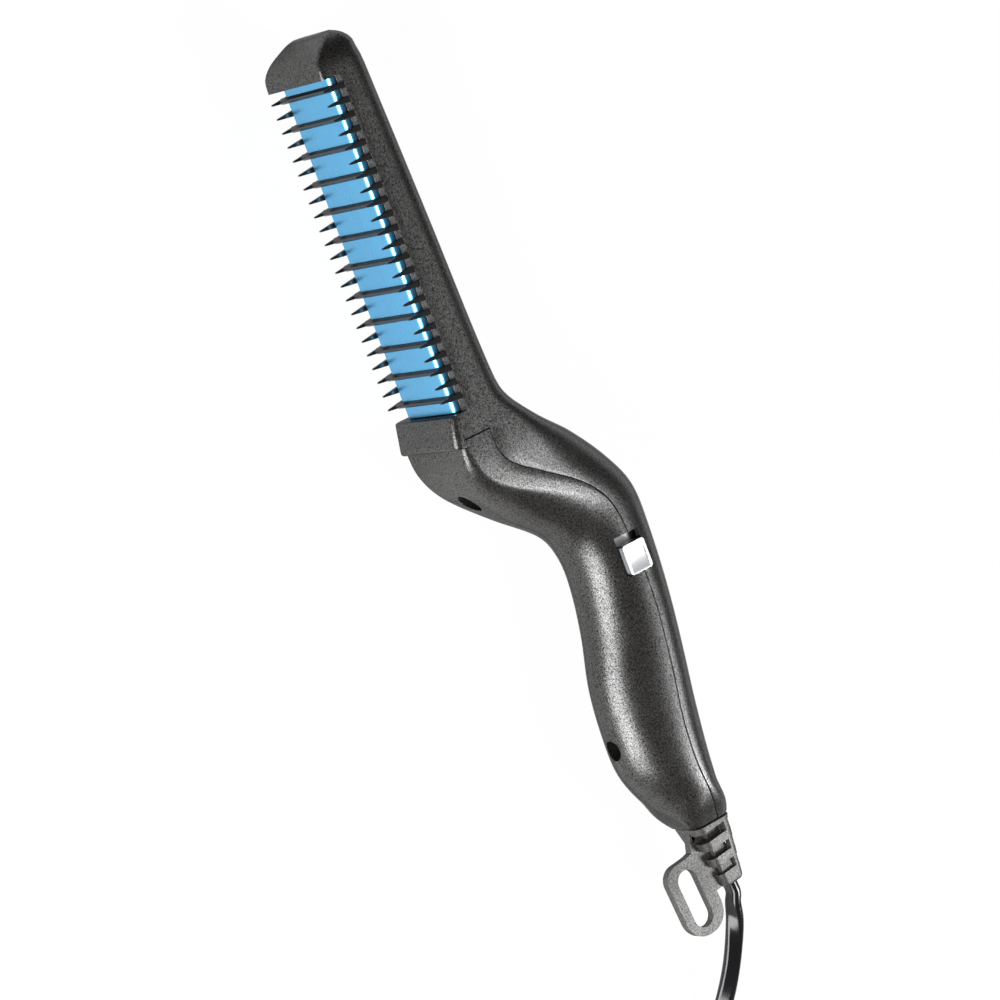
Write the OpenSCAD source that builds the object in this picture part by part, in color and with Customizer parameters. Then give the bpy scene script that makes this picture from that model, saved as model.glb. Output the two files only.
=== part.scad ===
// Heated beard and hair comb with an S-bent handle.
// It lies on its left side: X runs from the tip of the head to the cord, +Y from the tooth
// tips to the back, and +Z from the face it lies on to the side that carries the slide switch.
// All lengths are in millimetres. The modules draw the comb with its tip at X = 0, its tooth
// tips at Y = 0 and its mid-plane at Z = 0; placed() then moves it over its origin.

/* [Comb head] */
// Length of the nose ahead of the comb window
nose_len = 11.2; // [10:0.1:13]
// Width of the head across the two rows of teeth
head_w = 30; // [28.5:0.5:33]
// Depth of the head behind the tooth tips, where the nose ends
head_d = 18.6; // [18:0.1:21]
// What the head gains in depth from the nose to its base
head_growth = 3; // [2:0.1:5]
// Length of the solid block between the comb window and the chin
block_len = 9; // [8:0.1:11]
// How far the block stands in front of the tooth tips at its low end
block_rise = 1.4; // [0.8:0.1:2]
// Wall of the two moulded shells
wall = 1.7; // [1.5:0.1:1.8]
// Width of the joint line between the two shells
seam = 0.16; // [0.1:0.02:0.24]

/* [Comb frame] */
// Number of teeth in each row
tooth_count = 23; // [21:2:25]
// Spacing of the teeth
tooth_pitch = 4; // [3.8:0.1:4.4]
// Distance between the tips of the two rows
row_gap = 27; // [26.4:0.1:27.6]
// Thickness of a tooth at its root
tooth_root = 1.5; // [1.2:0.1:1.8]
// Thickness of a tooth at its tip
tooth_tip = 0.6; // [0.5:0.05:0.8]
// Thickness of a cross rib where it nears the plate
rib_root = 1.8; // [1.5:0.1:2.1]
// Thickness of a cross rib along its crest
rib_crest = 0.55; // [0.4:0.05:0.7]
// Depth of the rib crests behind the tooth tips
rib_depth = 2.2; // [1.9:0.1:2.4]
// Depth of the pads between the teeth, at their inner crest
pad_depth = 5.1; // [4.8:0.1:5.4]
// How far the pads fall away to the joint with the shell
pad_fall = 1.4; // [1:0.1:1.6]
// Thickness of the frame's locating skirt
skirt_t = 0.6; // [0.5:0.05:0.7]

/* [Heater] */
// Width of the heating plate
plate_w = 24.8; // [24:0.1:25]
// Depth of the plate's face behind the tooth tips
plate_depth = 3.7; // [3.6:0.1:3.9]
// Thickness of the plate behind its face
plate_t = 2.5; // [2.2:0.1:2.8]
// Radius of the plate's long edges
plate_edge_r = 2; // [1.2:0.1:2.1]
// Thickness of the plate's side flanges
flange_t = 2; // [1.6:0.1:2.2]
// How far the flanges reach behind the plate
flange_d = 1.8; // [1.4:0.1:2.4]
// Width of the ceramic heating element
heater_w = 18; // [14:0.5:19]
// Thickness of the ceramic heating element
heater_t = 2.2; // [2:0.1:2.4]
// Thickness of the insulating film
film_t = 0.3; // [0.2:0.05:0.4]
// Height of the leaf spring that presses the element on the plate
spring_h = 1.9; // [1.6:0.1:2.2]
// Thickness of the leaf spring
spring_t = 0.4; // [0.3:0.05:0.5]
// Thickness of the tray that carries the heater
tray_t = 1.6; // [1.4:0.1:1.8]
// Diameter of the thermal fuse
fuse_d = 2.4; // [2:0.1:2.6]
// Length of the thermal fuse
fuse_len = 10; // [8:0.5:12]
// Diameter of an insulated lead
lead_d = 1.8; // [1.5:0.1:2]

/* [Handle] */
// Length of the S-bend, from the block to the top of the hump
bend_len = 40.5; // [38:0.5:44]
// Height of the hump of the back over the tooth tips
rise = 54.8; // [53.5:0.1:56.5]
// Length of the grip, from the hump to the strain relief
grip_len = 86.5; // [84:0.5:95]
// Width of the handle
grip_w = 26; // [25:0.5:28]
// Depth of the handle at its belly
belly_d = 28.2; // [27.5:0.1:29.5]
// Width and depth of the handle where the strain relief leaves it
end_w = 13.4; // [13.2:0.1:14.4]
// Diameter of the screw recesses
recess_d = 6; // [5.6:0.1:6.4]
// Diameter of the housing screws' heads
screw_head_d = 5; // [4.6:0.1:5.4]
// Diameter of the housing screws
screw_d = 2.6; // [2.4:0.1:2.8]
// Length of the housing screws
screw_len = 12; // [10:0.5:14]
// Outer diameter of the screw posts
post_d = 7; // [6.4:0.1:8]

/* [Switch] */
// Length of the slot that the slide knob runs in
slot_len = 11.5; // [11:0.1:12.5]
// Width of the slot
slot_w = 8.2; // [7.8:0.1:8.6]
// Length of the knob
knob_len = 8.6; // [8:0.1:8.8]
// Clearance between the knob and the slot on each side
knob_gap = 0.25; // [0.2:0.05:0.35]
// How far the knob stands out of the handle
knob_out = 1.2; // [0.8:0.1:1.6]
// Travel of the knob
travel = 2.2; // [1.8:0.1:2.3]
// Length of the switch body
switch_len = 20; // [18:0.5:22]
// Width of the switch body
switch_w = 6; // [5.5:0.1:6.5]
// Height of the switch body
switch_h = 6.5; // [6:0.1:7]

/* [Strain relief] */
// Length of the strain relief outside the handle
relief_len = 20; // [19:0.5:22]
// Width of the strain relief at the handle
relief_w = 12.6; // [12.2:0.1:13]
// Width of the strain relief at its end
relief_end_w = 6.8; // [6.6:0.1:7.4]
// Number of its rings of slots
slot_rings = 3; // [2:1:3]
// Length of each slot along the cord
relief_slot = 2.8; // [2.4:0.1:3]
// Spacing of the slots
relief_pitch = 5.4; // [5.2:0.1:5.6]
// Thickness of the hang loop
loop_t = 2.6; // [2.2:0.1:3.2]
// Length of the opening of the hang loop
loop_slot_len = 17.6; // [15:0.1:18]
// Width of the opening of the hang loop
loop_slot_w = 6.6; // [5.6:0.1:7]
// Width of the outer rim of the hang loop
loop_rim = 3; // [2.8:0.1:3.6]

/* [Cord and plug] */
// Width of the flat twin cord
cord_w = 5.2; // [5:0.1:5.4]
// Thickness of the flat twin cord
cord_t = 3.3; // [3.1:0.1:3.4]
// Radius of the outermost loop of the bundled cord
bundle_r = 37; // [36:0.5:38]
// Loops in the bundled cord
bundle_loops = 9; // [8:1:10]
// Gap between neighbouring loops
loop_gap = 0.55; // [0.5:0.05:0.6]
// Thickness of the tie round the bundle
tie_t = 0.8; // [0.6:0.1:1]
// Width of the plug
plug_w = 35.3; // [34:0.1:36]
// Height of the plug
plug_h = 13.7; // [13:0.1:14]
// Length of the plug body
plug_len = 36; // [34:0.5:38]
// Diameter of a plug pin
pin_d = 4; // [3.9:0.05:4.1]
// Length of a plug pin
pin_len = 19; // [18:0.5:19.5]
// Distance between the plug pins
pin_gap = 18.3; // [17.5:0.1:19]

/* [Hidden] */
$fn = 32;

// Small overlap that makes a boss one with its wall, and the step of a sudden change in a loft
grip = 0.6;
step = 0.02;
// Gap between pieces that are laid together without a press fit
fit_gap = 0.1;

// Places along the comb
half_w = head_w / 2;
window_x0 = nose_len;
first_tooth_x = window_x0 + 3;
last_tooth_x = first_tooth_x + (tooth_count - 1) * tooth_pitch;
window_x1 = last_tooth_x + 4.3;
block_x1 = window_x1 + block_len;
cheek_x = block_x1 - 2.2;
hump_x = block_x1 + bend_len;
end_x = hump_x + grip_len;
pad_edge = pad_depth + pad_fall;
base_d = head_d + head_growth;
relief_tilt = 4.9;
// Middle of the hang loop's opening and its far end, in the strain relief's own frame
loop_mid = [17.8, -12.95];
loop_x1 = loop_mid[0] + loop_slot_len / 2 + loop_rim - 0.5;
loop_toe_r = 6.4;
loop_toe_y = loop_mid[1] - loop_slot_w / 2 - loop_rim + loop_toe_r;
loop_tip = (loop_x1 - loop_toe_r) * cos(relief_tilt) - loop_toe_y * sin(relief_tilt) + loop_toe_r;

// The comb stands over its origin: the middle of its box, on the face it lies on
box_len = end_x + loop_tip;
module placed() {
    translate([-box_len / 2, -(box_y0 + box_y1) / 2, half_w]) children();
}
module both_sides() {
    children();
    mirror([0, 0, 1]) children();
}

// Smooth curve through a list of [x, y] points: the span that holds x, the slope at each
// point, and the cubic between two points
function span(t, x, i = 0) = i >= len(t) - 2 || x < t[i + 1][0] ? i : span(t, x, i + 1);
function rate(t, i, j) = (t[j][1] - t[i][1]) / (t[j][0] - t[i][0]);
function slope(t, i) = i == 0 ? rate(t, 0, 1) : i == len(t) - 1 ? rate(t, i - 1, i)
    : rate(t, i - 1, i + 1);
function curve(t, x) = let (
    i = span(t, x), h = t[i + 1][0] - t[i][0], u = min(max((x - t[i][0]) / h, 0), 1),
    a = t[i][1], b = t[i + 1][1], p = slope(t, i) * h, q = slope(t, i + 1) * h
) a + u * (p + u * (3 * (b - a) - 2 * p - q + u * (2 * (a - b) + p + q)));
function ease(x, x0, x1) = let (u = min(max((x - x0) / (x1 - x0), 0), 1)) u * u * (3 - 2 * u);

// A point of the bend, k of the way along it and j of the way up
function bend_at(k, j) = [block_x1 + k * bend_len, base_d + j * (rise - base_d)];
// A point of the grip, k of the way along it and d below the hump
function grip_at(k, d) = [hump_x + k * grip_len, rise - d];

// The middle of the handle's end, and half its depth there
end_y = rise - 15.9;
end_half = end_w / 2;

// Lines of the side view: the back, the front and the joint between the shells
back_line = [
    [window_x0, head_d], [window_x1 - 50, head_d + 0.55 * head_growth],
    [window_x1 - 8, base_d], [window_x1 + 1, base_d + 1.7],
    bend_at(0.025, 0.27), bend_at(0.247, 0.572), bend_at(0.494, 0.825),
    bend_at(0.741, 0.98), [hump_x, rise],
    grip_at(0.283, 2.1), grip_at(0.63, 6.5), grip_at(0.861, 8.9), [end_x, end_y + end_half]
];
front_line = [
    [cheek_x, 0.7], [block_x1 + 0.6, 0.6], [block_x1 + 6.5, 0.6], bend_at(0.37, -0.536),
    bend_at(0.617, -0.271), bend_at(0.864, 0.072), grip_at(0.012, 27.4),
    grip_at(0.11, 26.6), grip_at(0.283, 29), grip_at(0.462, 33.2),
    grip_at(0.63, 6.3 + belly_d), grip_at(0.751, 34), grip_at(0.861, 30.2),
    [end_x, end_y - end_half]
];
joint_line = [
    [cheek_x, 11], [block_x1 + 4.5, 11.2], bend_at(0.222, -0.24), bend_at(0.373, 0.02),
    bend_at(0.508, 0.265), bend_at(0.63, 0.434), bend_at(0.778, 0.551), grip_at(0, 13.1),
    grip_at(0.22, 12.4), grip_at(0.467, 14.9), grip_at(0.635, 17.4), grip_at(0.795, 17.9),
    grip_at(0.93, 15.8), [end_x, end_y + 1.6]
];
// Half the width, seen from the front
half_line = [
    [0, half_w], [cheek_x, half_w], [block_x1 + 5, half_w - 0.1],
    [block_x1 + 15, grip_w / 2 + 1.2], [block_x1 + 25, grip_w / 2 + 0.4],
    [hump_x - 6, grip_w / 2], grip_at(0.51, 0) - [0, rise - grip_w / 2 + 0.1],
    grip_at(0.74, 0) - [0, rise - grip_w / 2 + 0.3],
    grip_at(0.861, 0) - [0, rise - grip_w / 2 + 1],
    grip_at(0.935, 0) - [0, rise - grip_w / 2 + 3], [end_x, end_half]
];
function back_y(x) = curve(back_line, x);
function front_y(x) = curve(front_line, x) + (x < block_x1 + 0.1 ? 1.5 : 0);
function joint_y(x) = curve(joint_line, x);
function half_z(x) = curve(half_line, x);

// Corner radii of the section at x, as [depth, width]: the head is a rounded box, the grip an
// ellipse, and the handle's end a rounded square
head_corner = [8, 10];
chin_corner = [3.2, 3.2];
end_corner = [3.5, 3.5];
function mix(a, b, u) = a * (1 - u) + b * u;
function grip_corner(x, depth) = mix(
    [depth - 0.3, half_z(x) - 0.3], end_corner, ease(x, end_x - 12, end_x)
);
function back_corner(x) = mix(
    head_corner, grip_corner(x, back_y(x) - joint_y(x)), ease(x, block_x1 - 6, hump_x - 14)
);
function front_corner(x) = mix(
    chin_corner, grip_corner(x, joint_y(x) - front_y(x)), ease(x, block_x1 + 3, hump_x - 8)
);
function shell_wall(x) = mix([wall, 0], [1.2, 0], ease(x, end_x - 12, end_x))[0];

// Half a section as [y, z] points, from the joint at +Z over the face to the joint at -Z.
// side is 1 for the back and -1 for the front
arc_steps = 6;
function half_section(edge, face, half, corner, side) = let (
    cy = min(corner[0], abs(face - edge) - 0.2), cz = min(corner[1], half - 0.3),
    arc = [for (i = [0:arc_steps]) let (t = 90 * i / arc_steps)
        [face - side * cy * (1 - sin(t)), half - cz * (1 - cos(t))]]
) concat(
    [[edge, half]], arc, [for (i = [arc_steps:-1:0]) [arc[i][0], -arc[i][1]]], [[edge, -half]]
);
function reverse(list) = [for (i = [len(list) - 1:-1:0]) list[i]];
// The same with its wall: an open C
function c_section(edge, face, half, corner, side, t) = concat(
    half_section(edge, face, half, corner, side),
    reverse(half_section(edge, face - side * t, half - t, [
        max(corner[0] - t, 0.6), max(corner[1] - t, 0.6)
    ], side))
);
function at_x(x, section) = [for (p = section) [x, p[0], p[1]]];

// Skin over a list of sections, which all have as many points. The end of a convex section is
// one face; that of an open C is a strip between its outer and its inner line
function end_face(n, first, is_c) = !is_c ? [[for (i = [0:n - 1]) first + i]] : [
    for (i = [0:n / 2 - 2]) each [
        [first + i, first + i + 1, first + n - 2 - i], [first + i, first + n - 2 - i, first + n - 1 - i]
    ]
];
module skin(rings, is_c = false) {
    n = len(rings[0]);
    last = len(rings) - 1;
    polyhedron(
        points = [for (ring = rings) each ring],
        faces = concat(
            [for (f = end_face(n, 0, is_c)) reverse(f)],
            [for (k = [0:last - 1], i = [0:n - 1]) [k * n + i, k * n + (i + 1) % n, (k + 1) * n + i]],
            [for (k = [0:last - 1], i = [0:n - 1])
                [(k + 1) * n + i, k * n + (i + 1) % n, (k + 1) * n + (i + 1) % n]],
            end_face(n, last * n, is_c)
        )
    );
}

// Stations of the two lofts
head_stations = [
    window_x0, window_x0 + 24, window_x1 - 50, window_x1 - 25, window_x1 - 10, window_x1 - 4,
    window_x1 + 1, window_x1 + 4, cheek_x - step
];
bend_steps = 16;
grip_steps = 13;
handle_stations = concat(
    [for (i = [0:bend_steps]) cheek_x + (hump_x - cheek_x) * i / bend_steps],
    [for (i = [1:grip_steps]) hump_x + (grip_len - 12) * i / grip_steps],
    [end_x - 9, end_x - 6, end_x - 3, end_x]
);
box_y0 = 0.45 - (block_rise + 0.45) * (block_len - 1.2) / block_len;
box_y1 = max([for (x = handle_stations) back_y(x)]);

/* Housing */

// The nose: its face bows back to a blunt tip, and it narrows in both views
nose_front = [[0, 9.6], [0.5, 8.4], [1.8, 6.5], [4.2, 3.2], [7.3, 0.9], [nose_len, 0.5]];
nose_back = [
    [0, 12.6], [0.5, 13.8], [1.8, 15.5], [4.2, head_d - 1.1], [7.3, head_d - 0.3],
    [nose_len, head_d]
];
nose_half = [
    [0, half_w - 5.4], [0.5, half_w - 4.4], [1.8, half_w - 2.9], [4.2, half_w - 1.2],
    [7.3, half_w - 0.2], [nose_len, half_w]
];
nose_stations = [0, 0.3, 0.9, 1.8, 3, 4.4, 6, 8, nose_len];
edge_r = 1.5;
function closed_section(front, back, half, front_r, back_r, middle) = let (
    seen = half_section(middle, front, half, front_r, -1)
) concat(
    half_section(middle, back, half, back_r, 1), [for (i = [len(seen) - 2:-1:1]) seen[i]]
);
module nose() {
    skin([for (x = nose_stations) let (
        f = curve(nose_front, x), b = curve(nose_back, x), a = curve(nose_half, x),
        k = 0.35 + 0.65 * ease(x, 0, 7), m = mix([f, 0], [pad_edge, 0], ease(x, 0, nose_len))[0] + 0.8
    ) at_x(x, closed_section(f, b, a, [edge_r, edge_r], [8 * k, 10 * k], x == nose_len ? pad_edge
        : max(m, f + edge_r + 0.3)))]);
}
// The block under the comb window, with its low end rounded over the chin
module block() {
    front_x = [window_x1, window_x1 + 0.5, cheek_x - step, cheek_x, block_x1 - 1.2,
        block_x1 - 0.4, block_x1];
    sunk = [0.5, 0.1, 0, 0, 0, 0.3, 1.2];
    skin([for (i = [0:len(front_x) - 1]) let (
        x = front_x[i],
        f = 0.45 - (block_rise + 0.45) * (x - window_x1) / block_len + sunk[i],
        back = x < cheek_x ? pad_edge : 1.9
    ) reverse(at_x(x, [
        [back, half_w], each [for (t = [0:15:90])
            [f + edge_r * (1 - sin(t)) , half_w - edge_r * (1 - cos(t))]],
        each [for (t = [90:-15:0])
            [f + edge_r * (1 - sin(t)), -half_w + edge_r * (1 - cos(t))]],
        [back, -half_w]
    ]))]);
}
// Screw posts stand on the back shell and meet the seats of the front shell
screw_x = [block_x1 + 17.1, hump_x + 56.9];
screw_seat = [24, rise - 23];
// Stand-offs under the heater tray
tray_y = plate_depth + plate_t + heater_t + film_t + spring_h;
tray_back = tray_y + tray_t;
stand_x = [window_x0 + 8, window_x0 + 36, window_x1 - 40, window_x1 - 10];
// The switch sits under its slot, on two cradle walls
slot_x = hump_x + 0.8;
slot_y = rise - 13.7;
switch_x = slot_x + slot_len / 2 - travel / 2 + 1;
switch_top = grip_w / 2 - wall - 3.3;
switch_z = switch_top - switch_h;
// The clamp holds the cord in front of a saddle
relief_y = end_y + 0.3;
function cord_y(x) = relief_y + (x - end_x) * tan(relief_tilt);
clamp_x = end_x - 10;
clamp_half = 6.2;

// What cuts a post to the slope of a shell: a wall between a line along x and the depth y1
post_span = [-5:1:5];
module under_line(x0, line, y1) {
    translate([0, 0, -post_d]) linear_extrude(2 * post_d) polygon(concat(
        [for (i = [0:len(line) - 1]) [x0 + i - 5, line[i]]], [[x0 + 5, y1], [x0 - 5, y1]]
    ));
}
module switch_slot() {
    translate([slot_x, slot_y - slot_w / 2, grip_w / 2 - 5]) cube([slot_len, slot_w, 10]);
}
module back_shell() {
    color([0.17, 0.165, 0.16]) difference() {
        union() {
            // The head, its nose and the block are one moulding, head_w wide over its sides
            resize([0, 0, head_w]) union() {
                skin(concat(
                    [for (x = head_stations) at_x(x, c_section(
                        pad_edge, back_y(x), half_w, back_corner(x), 1, wall))],
                    [for (x = handle_stations) at_x(x, c_section(
                        joint_y(x) + seam / 2, back_y(x), half_z(x), back_corner(x), 1,
                        shell_wall(x)))]
                ), true);
                nose();
                block();
            }
            for (i = [0, 1]) intersection() {
                translate([screw_x[i], screw_seat[i], 0]) rotate([-90, 0, 0])
                    cylinder(d = post_d, h = rise);
                under_line(screw_x[i], [for (x = post_span) back_y(screw_x[i] + x) - wall + 0.5], 0);
            }
            for (x = stand_x) translate([x, tray_back, 0]) rotate([-90, 0, 0])
                cylinder(d = 4, h = back_y(x) - wall + grip - tray_back);
            for (x = [switch_x - switch_len / 2 + 2, switch_x + switch_len / 2 - 3.5])
                translate([x, slot_y + switch_w / 2, -1])
                    cube([1.5, back_y(x) - wall - 0.7 - slot_y - switch_w / 2, 7]);
            translate([clamp_x - 2.5, cord_y(clamp_x) + cord_t / 2 + 0.25, -3.4])
                cube([5, back_y(clamp_x) - wall + grip - cord_y(clamp_x) - cord_t / 2, 6.8]);
            both_sides() translate([clamp_x, cord_y(clamp_x) - cord_t / 2, clamp_half])
                rotate([-90, 0, 0]) cylinder(
                    d = 4.4, h = back_y(clamp_x) - 3.5 - cord_y(clamp_x) + cord_t / 2);
        }
        switch_slot();
        for (i = [0, 1]) translate([screw_x[i], screw_seat[i] - 1, 0]) rotate([-90, 0, 0])
            cylinder(d = screw_d + 0.04, h = screw_len - 1);
        both_sides() translate([clamp_x, cord_y(clamp_x) - cord_t / 2 - 1, clamp_half])
            rotate([-90, 0, 0]) cylinder(d = 2.04, h = 7);
    }
}
module front_shell() {
    seat_t = 1.6;
    color([0.17, 0.165, 0.16]) difference() {
        union() {
            skin([for (x = concat(
                [cheek_x + seam, block_x1, block_x1 + 0.2], [for (s = handle_stations) if (s > block_x1 + 0.3) s]
            )) at_x(x, reverse(c_section(
                joint_y(x) - seam / 2, front_y(x), half_z(x), front_corner(x), -1,
                shell_wall(x))))], true);
            for (i = [0, 1]) intersection() {
                rotate([-90, 0, 0]) translate([screw_x[i], 0, 0])
                    cylinder(d = recess_d + 2.6, h = screw_seat[i] - fit_gap);
                under_line(screw_x[i], [for (x = post_span) front_y(screw_x[i] + x) + 1.2], rise);
            }
        }
        switch_slot();
        for (i = [0, 1]) translate([screw_x[i], 0, 0]) rotate([-90, 0, 0]) {
            translate([0, 0, front_y(screw_x[i]) - 6])
                cylinder(d = recess_d, h = screw_seat[i] - seat_t - front_y(screw_x[i]) + 6);
            cylinder(d = screw_d + 0.4, h = screw_seat[i] + 1);
        }
    }
}
module housing_screws() {
    head_h = 2;
    color([0.2, 0.2, 0.21])
        for (i = [0, 1]) translate([screw_x[i], screw_seat[i] - 1.6 - head_h, 0])
            rotate([-90, 0, 0]) difference() {
                union() {
                    cylinder(d = screw_head_d, h = head_h);
                    cylinder(d = screw_d, h = head_h + screw_len - 1);
                }
                for (turn = [0, 90]) rotate(turn) translate([-1.5, -0.35, -1])
                    cube([3, 0.7, 2]);
            }
}

/* Comb and heater */

skirt_z = half_w - wall - fit_gap;
skirt_y1 = pad_edge + 3;
module tooth_row() {
    root_y = pad_depth + 0.9;
    // Teeth in the side view, cut to the slant that they have in the front view
    intersection() {
        translate([0, 0, row_gap / 2 - 2]) linear_extrude(6)
            for (i = [0:tooth_count - 1]) translate([first_tooth_x + i * tooth_pitch, 0])
                polygon([
                    [-tooth_tip / 2, 0], [tooth_tip / 2, 0],
                    [tooth_root / 2, root_y], [-tooth_root / 2, root_y]
                ]);
        translate([window_x0, 0, 0]) rotate([90, 0, 90])
            linear_extrude(window_x1 - window_x0) polygon([
                [0, row_gap / 2 - 0.35], [0, row_gap / 2 + 0.35],
                [pad_edge, half_w], [pad_edge, skirt_z - skirt_t + 0.1]
            ]);
    }
    // The pads between them, and the skirt inside the shell
    translate([window_x0 + fit_gap, 0, 0]) rotate([90, 0, 90])
        linear_extrude(window_x1 - window_x0 - 2 * fit_gap) polygon([
            [pad_depth, skirt_z - 0.1], [pad_edge - fit_gap, half_w - 0.05],
            [pad_edge - fit_gap, skirt_z], [skirt_y1, skirt_z], [skirt_y1, skirt_z - skirt_t],
            [pad_edge - 0.6, skirt_z - skirt_t]
        ]);
}
module comb_frame() {
    rib_base = plate_depth - 0.15;
    color([0.06, 0.06, 0.065]) {
        both_sides() tooth_row();
        for (i = [0:2:tooth_count - 1])
            translate([first_tooth_x + i * tooth_pitch, 0, -row_gap / 2])
                linear_extrude(row_gap) polygon([
                    [-rib_crest / 2, rib_depth], [rib_crest / 2, rib_depth],
                    [rib_root / 2, rib_base], [-rib_root / 2, rib_base]
                ]);
    }
}
// Pieces of the heater pack are extruded along the window between these ends
module along_window(inset) {
    translate([window_x0 + inset, 0, 0]) rotate([90, 0, 90])
        linear_extrude(window_x1 - window_x0 - 2 * inset) children();
}
module heating_plate() {
    half = plate_w / 2;
    back = plate_depth + plate_t;
    color([0.44, 0.71, 0.88]) along_window(0.3) difference() {
        union() {
            translate([plate_depth + plate_edge_r, -half])
                square([plate_t + flange_d - plate_edge_r, plate_w]);
            translate([plate_depth, plate_edge_r - half])
                square([plate_edge_r + 0.5, plate_w - 2 * plate_edge_r]);
            for (s = [-1, 1])
                translate([plate_depth + plate_edge_r, s * (half - plate_edge_r)])
                    circle(plate_edge_r, $fn = 32);
        }
        translate([back, flange_t - half]) square([flange_d + 1, plate_w - 2 * flange_t]);
    }
}
heater_inset = 5;
module ptc_heater() {
    color([0.83, 0.82, 0.79]) along_window(heater_inset)
        translate([plate_depth + plate_t, -heater_w / 2]) square([heater_t, heater_w]);
}
film_y = plate_depth + plate_t + heater_t;
module insulating_film() {
    color([0.78, 0.55, 0.18]) along_window(heater_inset - 2)
        translate([film_y, -heater_w / 2 - 0.6]) square([film_t, heater_w + 1.2]);
}
// Leaf spring: a strip that is folded up and down between the film and the tray
module heater_clip() {
    waves = 4;
    inset = heater_inset + 3;
    x0 = window_x0 + inset;
    wave = (window_x1 - window_x0 - 2 * inset) / waves;
    y0 = film_y + film_t;
    line = [for (i = [0:waves - 1]) each [
        [x0 + i * wave, 0], [x0 + (i + 0.3) * wave, 0],
        [x0 + (i + 0.45) * wave, 1], [x0 + (i + 0.8) * wave, 1]
    ]];
    lift = spring_h - spring_t;
    color([0.72, 0.72, 0.74]) translate([0, 0, -4]) linear_extrude(8) polygon(concat(
        [for (p = line) [p[0], y0 + p[1] * lift]], [[x0 + waves * wave, y0]],
        [[x0 + waves * wave, y0 + spring_t]],
        [for (p = reverse(line)) [p[0], y0 + spring_t + p[1] * lift]]
    ));
}
module heater_tray() {
    half = skirt_z - skirt_t - 0.3;
    color([0.72, 0.7, 0.64]) difference() {
        along_window(1) union() {
            translate([tray_y, -half]) square([tray_t, 2 * half]);
            for (s = [-1, 1]) translate([plate_depth + plate_t + flange_d + 0.3,
                s > 0 ? half - 1.2 : -half])
                square([tray_back - plate_depth - plate_t - flange_d - 0.3, 1.2]);
        }
        for (i = [0:4]) translate([window_x0 + 14 + i * (window_x1 - window_x0 - 28) / 4, tray_y - 1, 7.4])
            rotate([-90, 0, 0]) cylinder(d = 3, h = tray_t + 2);
    }
}
fuse_x = window_x1 - 24;
fuse_z = -6;
sleeve_d = fuse_d + 1.2;
module thermal_fuse() {
    color([0.8, 0.8, 0.82]) translate([fuse_x, tray_back + sleeve_d / 2 + 0.05, fuse_z])
        rotate([0, 90, 0]) {
            cylinder(d = fuse_d, h = fuse_len);
            translate([0, 0, -5]) cylinder(d = 0.8, h = fuse_len + 10);
        }
}
module fuse_sleeve() {
    color([0.9, 0.9, 0.86]) translate([fuse_x - 2, tray_back + sleeve_d / 2 + 0.05, fuse_z])
        rotate([0, 90, 0]) difference() {
            cylinder(d = sleeve_d, h = fuse_len + 4);
            translate([0, 0, -1]) cylinder(d = fuse_d + 0.1, h = fuse_len + 6);
        }
}

// Tube of a given section that is swept along points; each point may carry a roll angle
function unit(v) = v / norm(v);
function flat_point(p) = [p[0], p[1], p[2]];
function tangent(path, i) = unit(
    flat_point(path[min(i + 1, len(path) - 1)]) - flat_point(path[max(i - 1, 0)])
);
function ring_at(path, i, section) = let (
    t = tangent(path, i), level = unit(cross(t, [0, 0, 1])), up = cross(level, t),
    roll = len(path[i]) > 3 ? path[i][3] : 0,
    w = up * cos(roll) + level * sin(roll), v = level * cos(roll) - up * sin(roll)
) [for (p = section) flat_point(path[i]) + v * p[0] + w * p[1]];
module tube(path, section) {
    skin([for (i = [0:len(path) - 1]) ring_at(path, i, section)]);
}
function round_section(d, sides) = [for (i = [0:sides - 1])
    d / 2 * [cos(360 * i / sides), sin(360 * i / sides)]];
// Smooth route: each stretch between two route points is cut into steps. Its ends are straight
function route_at(r, i, u) = i == 0 || i == len(r) - 2 ? r[i] + u * (r[i + 1] - r[i]) : let (
    a = r[i - 1], b = r[i], c = r[i + 1], d = r[i + 2]
) b + u * ((c - a) / 2 + u * ((a - 2.5 * b + 2 * c - d / 2) + u * (1.5 * b - a / 2 - 1.5 * c + d / 2)));
function smooth_route(r, steps) = concat(
    [for (i = [0:len(r) - 2], k = [0:steps - 1]) route_at(r, i, k / steps)], [r[len(r) - 1]]
);

// Leads through the bend: from the heater past the first screw post to the switch
terminal_x0 = switch_x - switch_len / 2 - 2.5;
terminal_x1 = switch_x + switch_len / 2 + 2.5;
terminal_z = switch_z + 2.5;
fuse_end = [fuse_x + fuse_len + 5, tray_back + sleeve_d / 2 + 0.05, fuse_z];
heater_end = [window_x1 - heater_inset + 0.2, plate_depth + plate_t + heater_t / 2, 6];
connector_x = hump_x + 34;
connector_y = rise - 15.5;
live_route = [
    fuse_end + [0.1, 0, 0], fuse_end + [2, 0, 0], fuse_end + [6, 0.5, -0.5], [block_x1 + 2, base_d - 3, -7.4],
    [block_x1 + 11, base_d + 4.5, -7.8], [block_x1 + 19, base_d + 11.5, -7.6],
    [block_x1 + 26, rise - 16, -5], [terminal_x0 - 5, slot_y - 0.4, terminal_z - 1],
    [terminal_x0 - 2, slot_y, terminal_z], [terminal_x0 - 0.1, slot_y, terminal_z]
];
neutral_route = [
    heater_end, heater_end + [2, 0, 0], heater_end + [5, 1.5, 0.6], [block_x1 + 2, base_d - 5, 7.2],
    [block_x1 + 11, base_d + 2, 7.6], [block_x1 + 20, base_d + 9, 6.6],
    [block_x1 + 28, rise - 18, 0], [hump_x, rise - 17, -5.4],
    [hump_x + 16, rise - 16.5, -6], [connector_x - 5, connector_y, -6], [connector_x - 2, connector_y, -6],
    [connector_x - 0.1, connector_y, -6]
];
lead_section = round_section(lead_d, 8);
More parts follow.
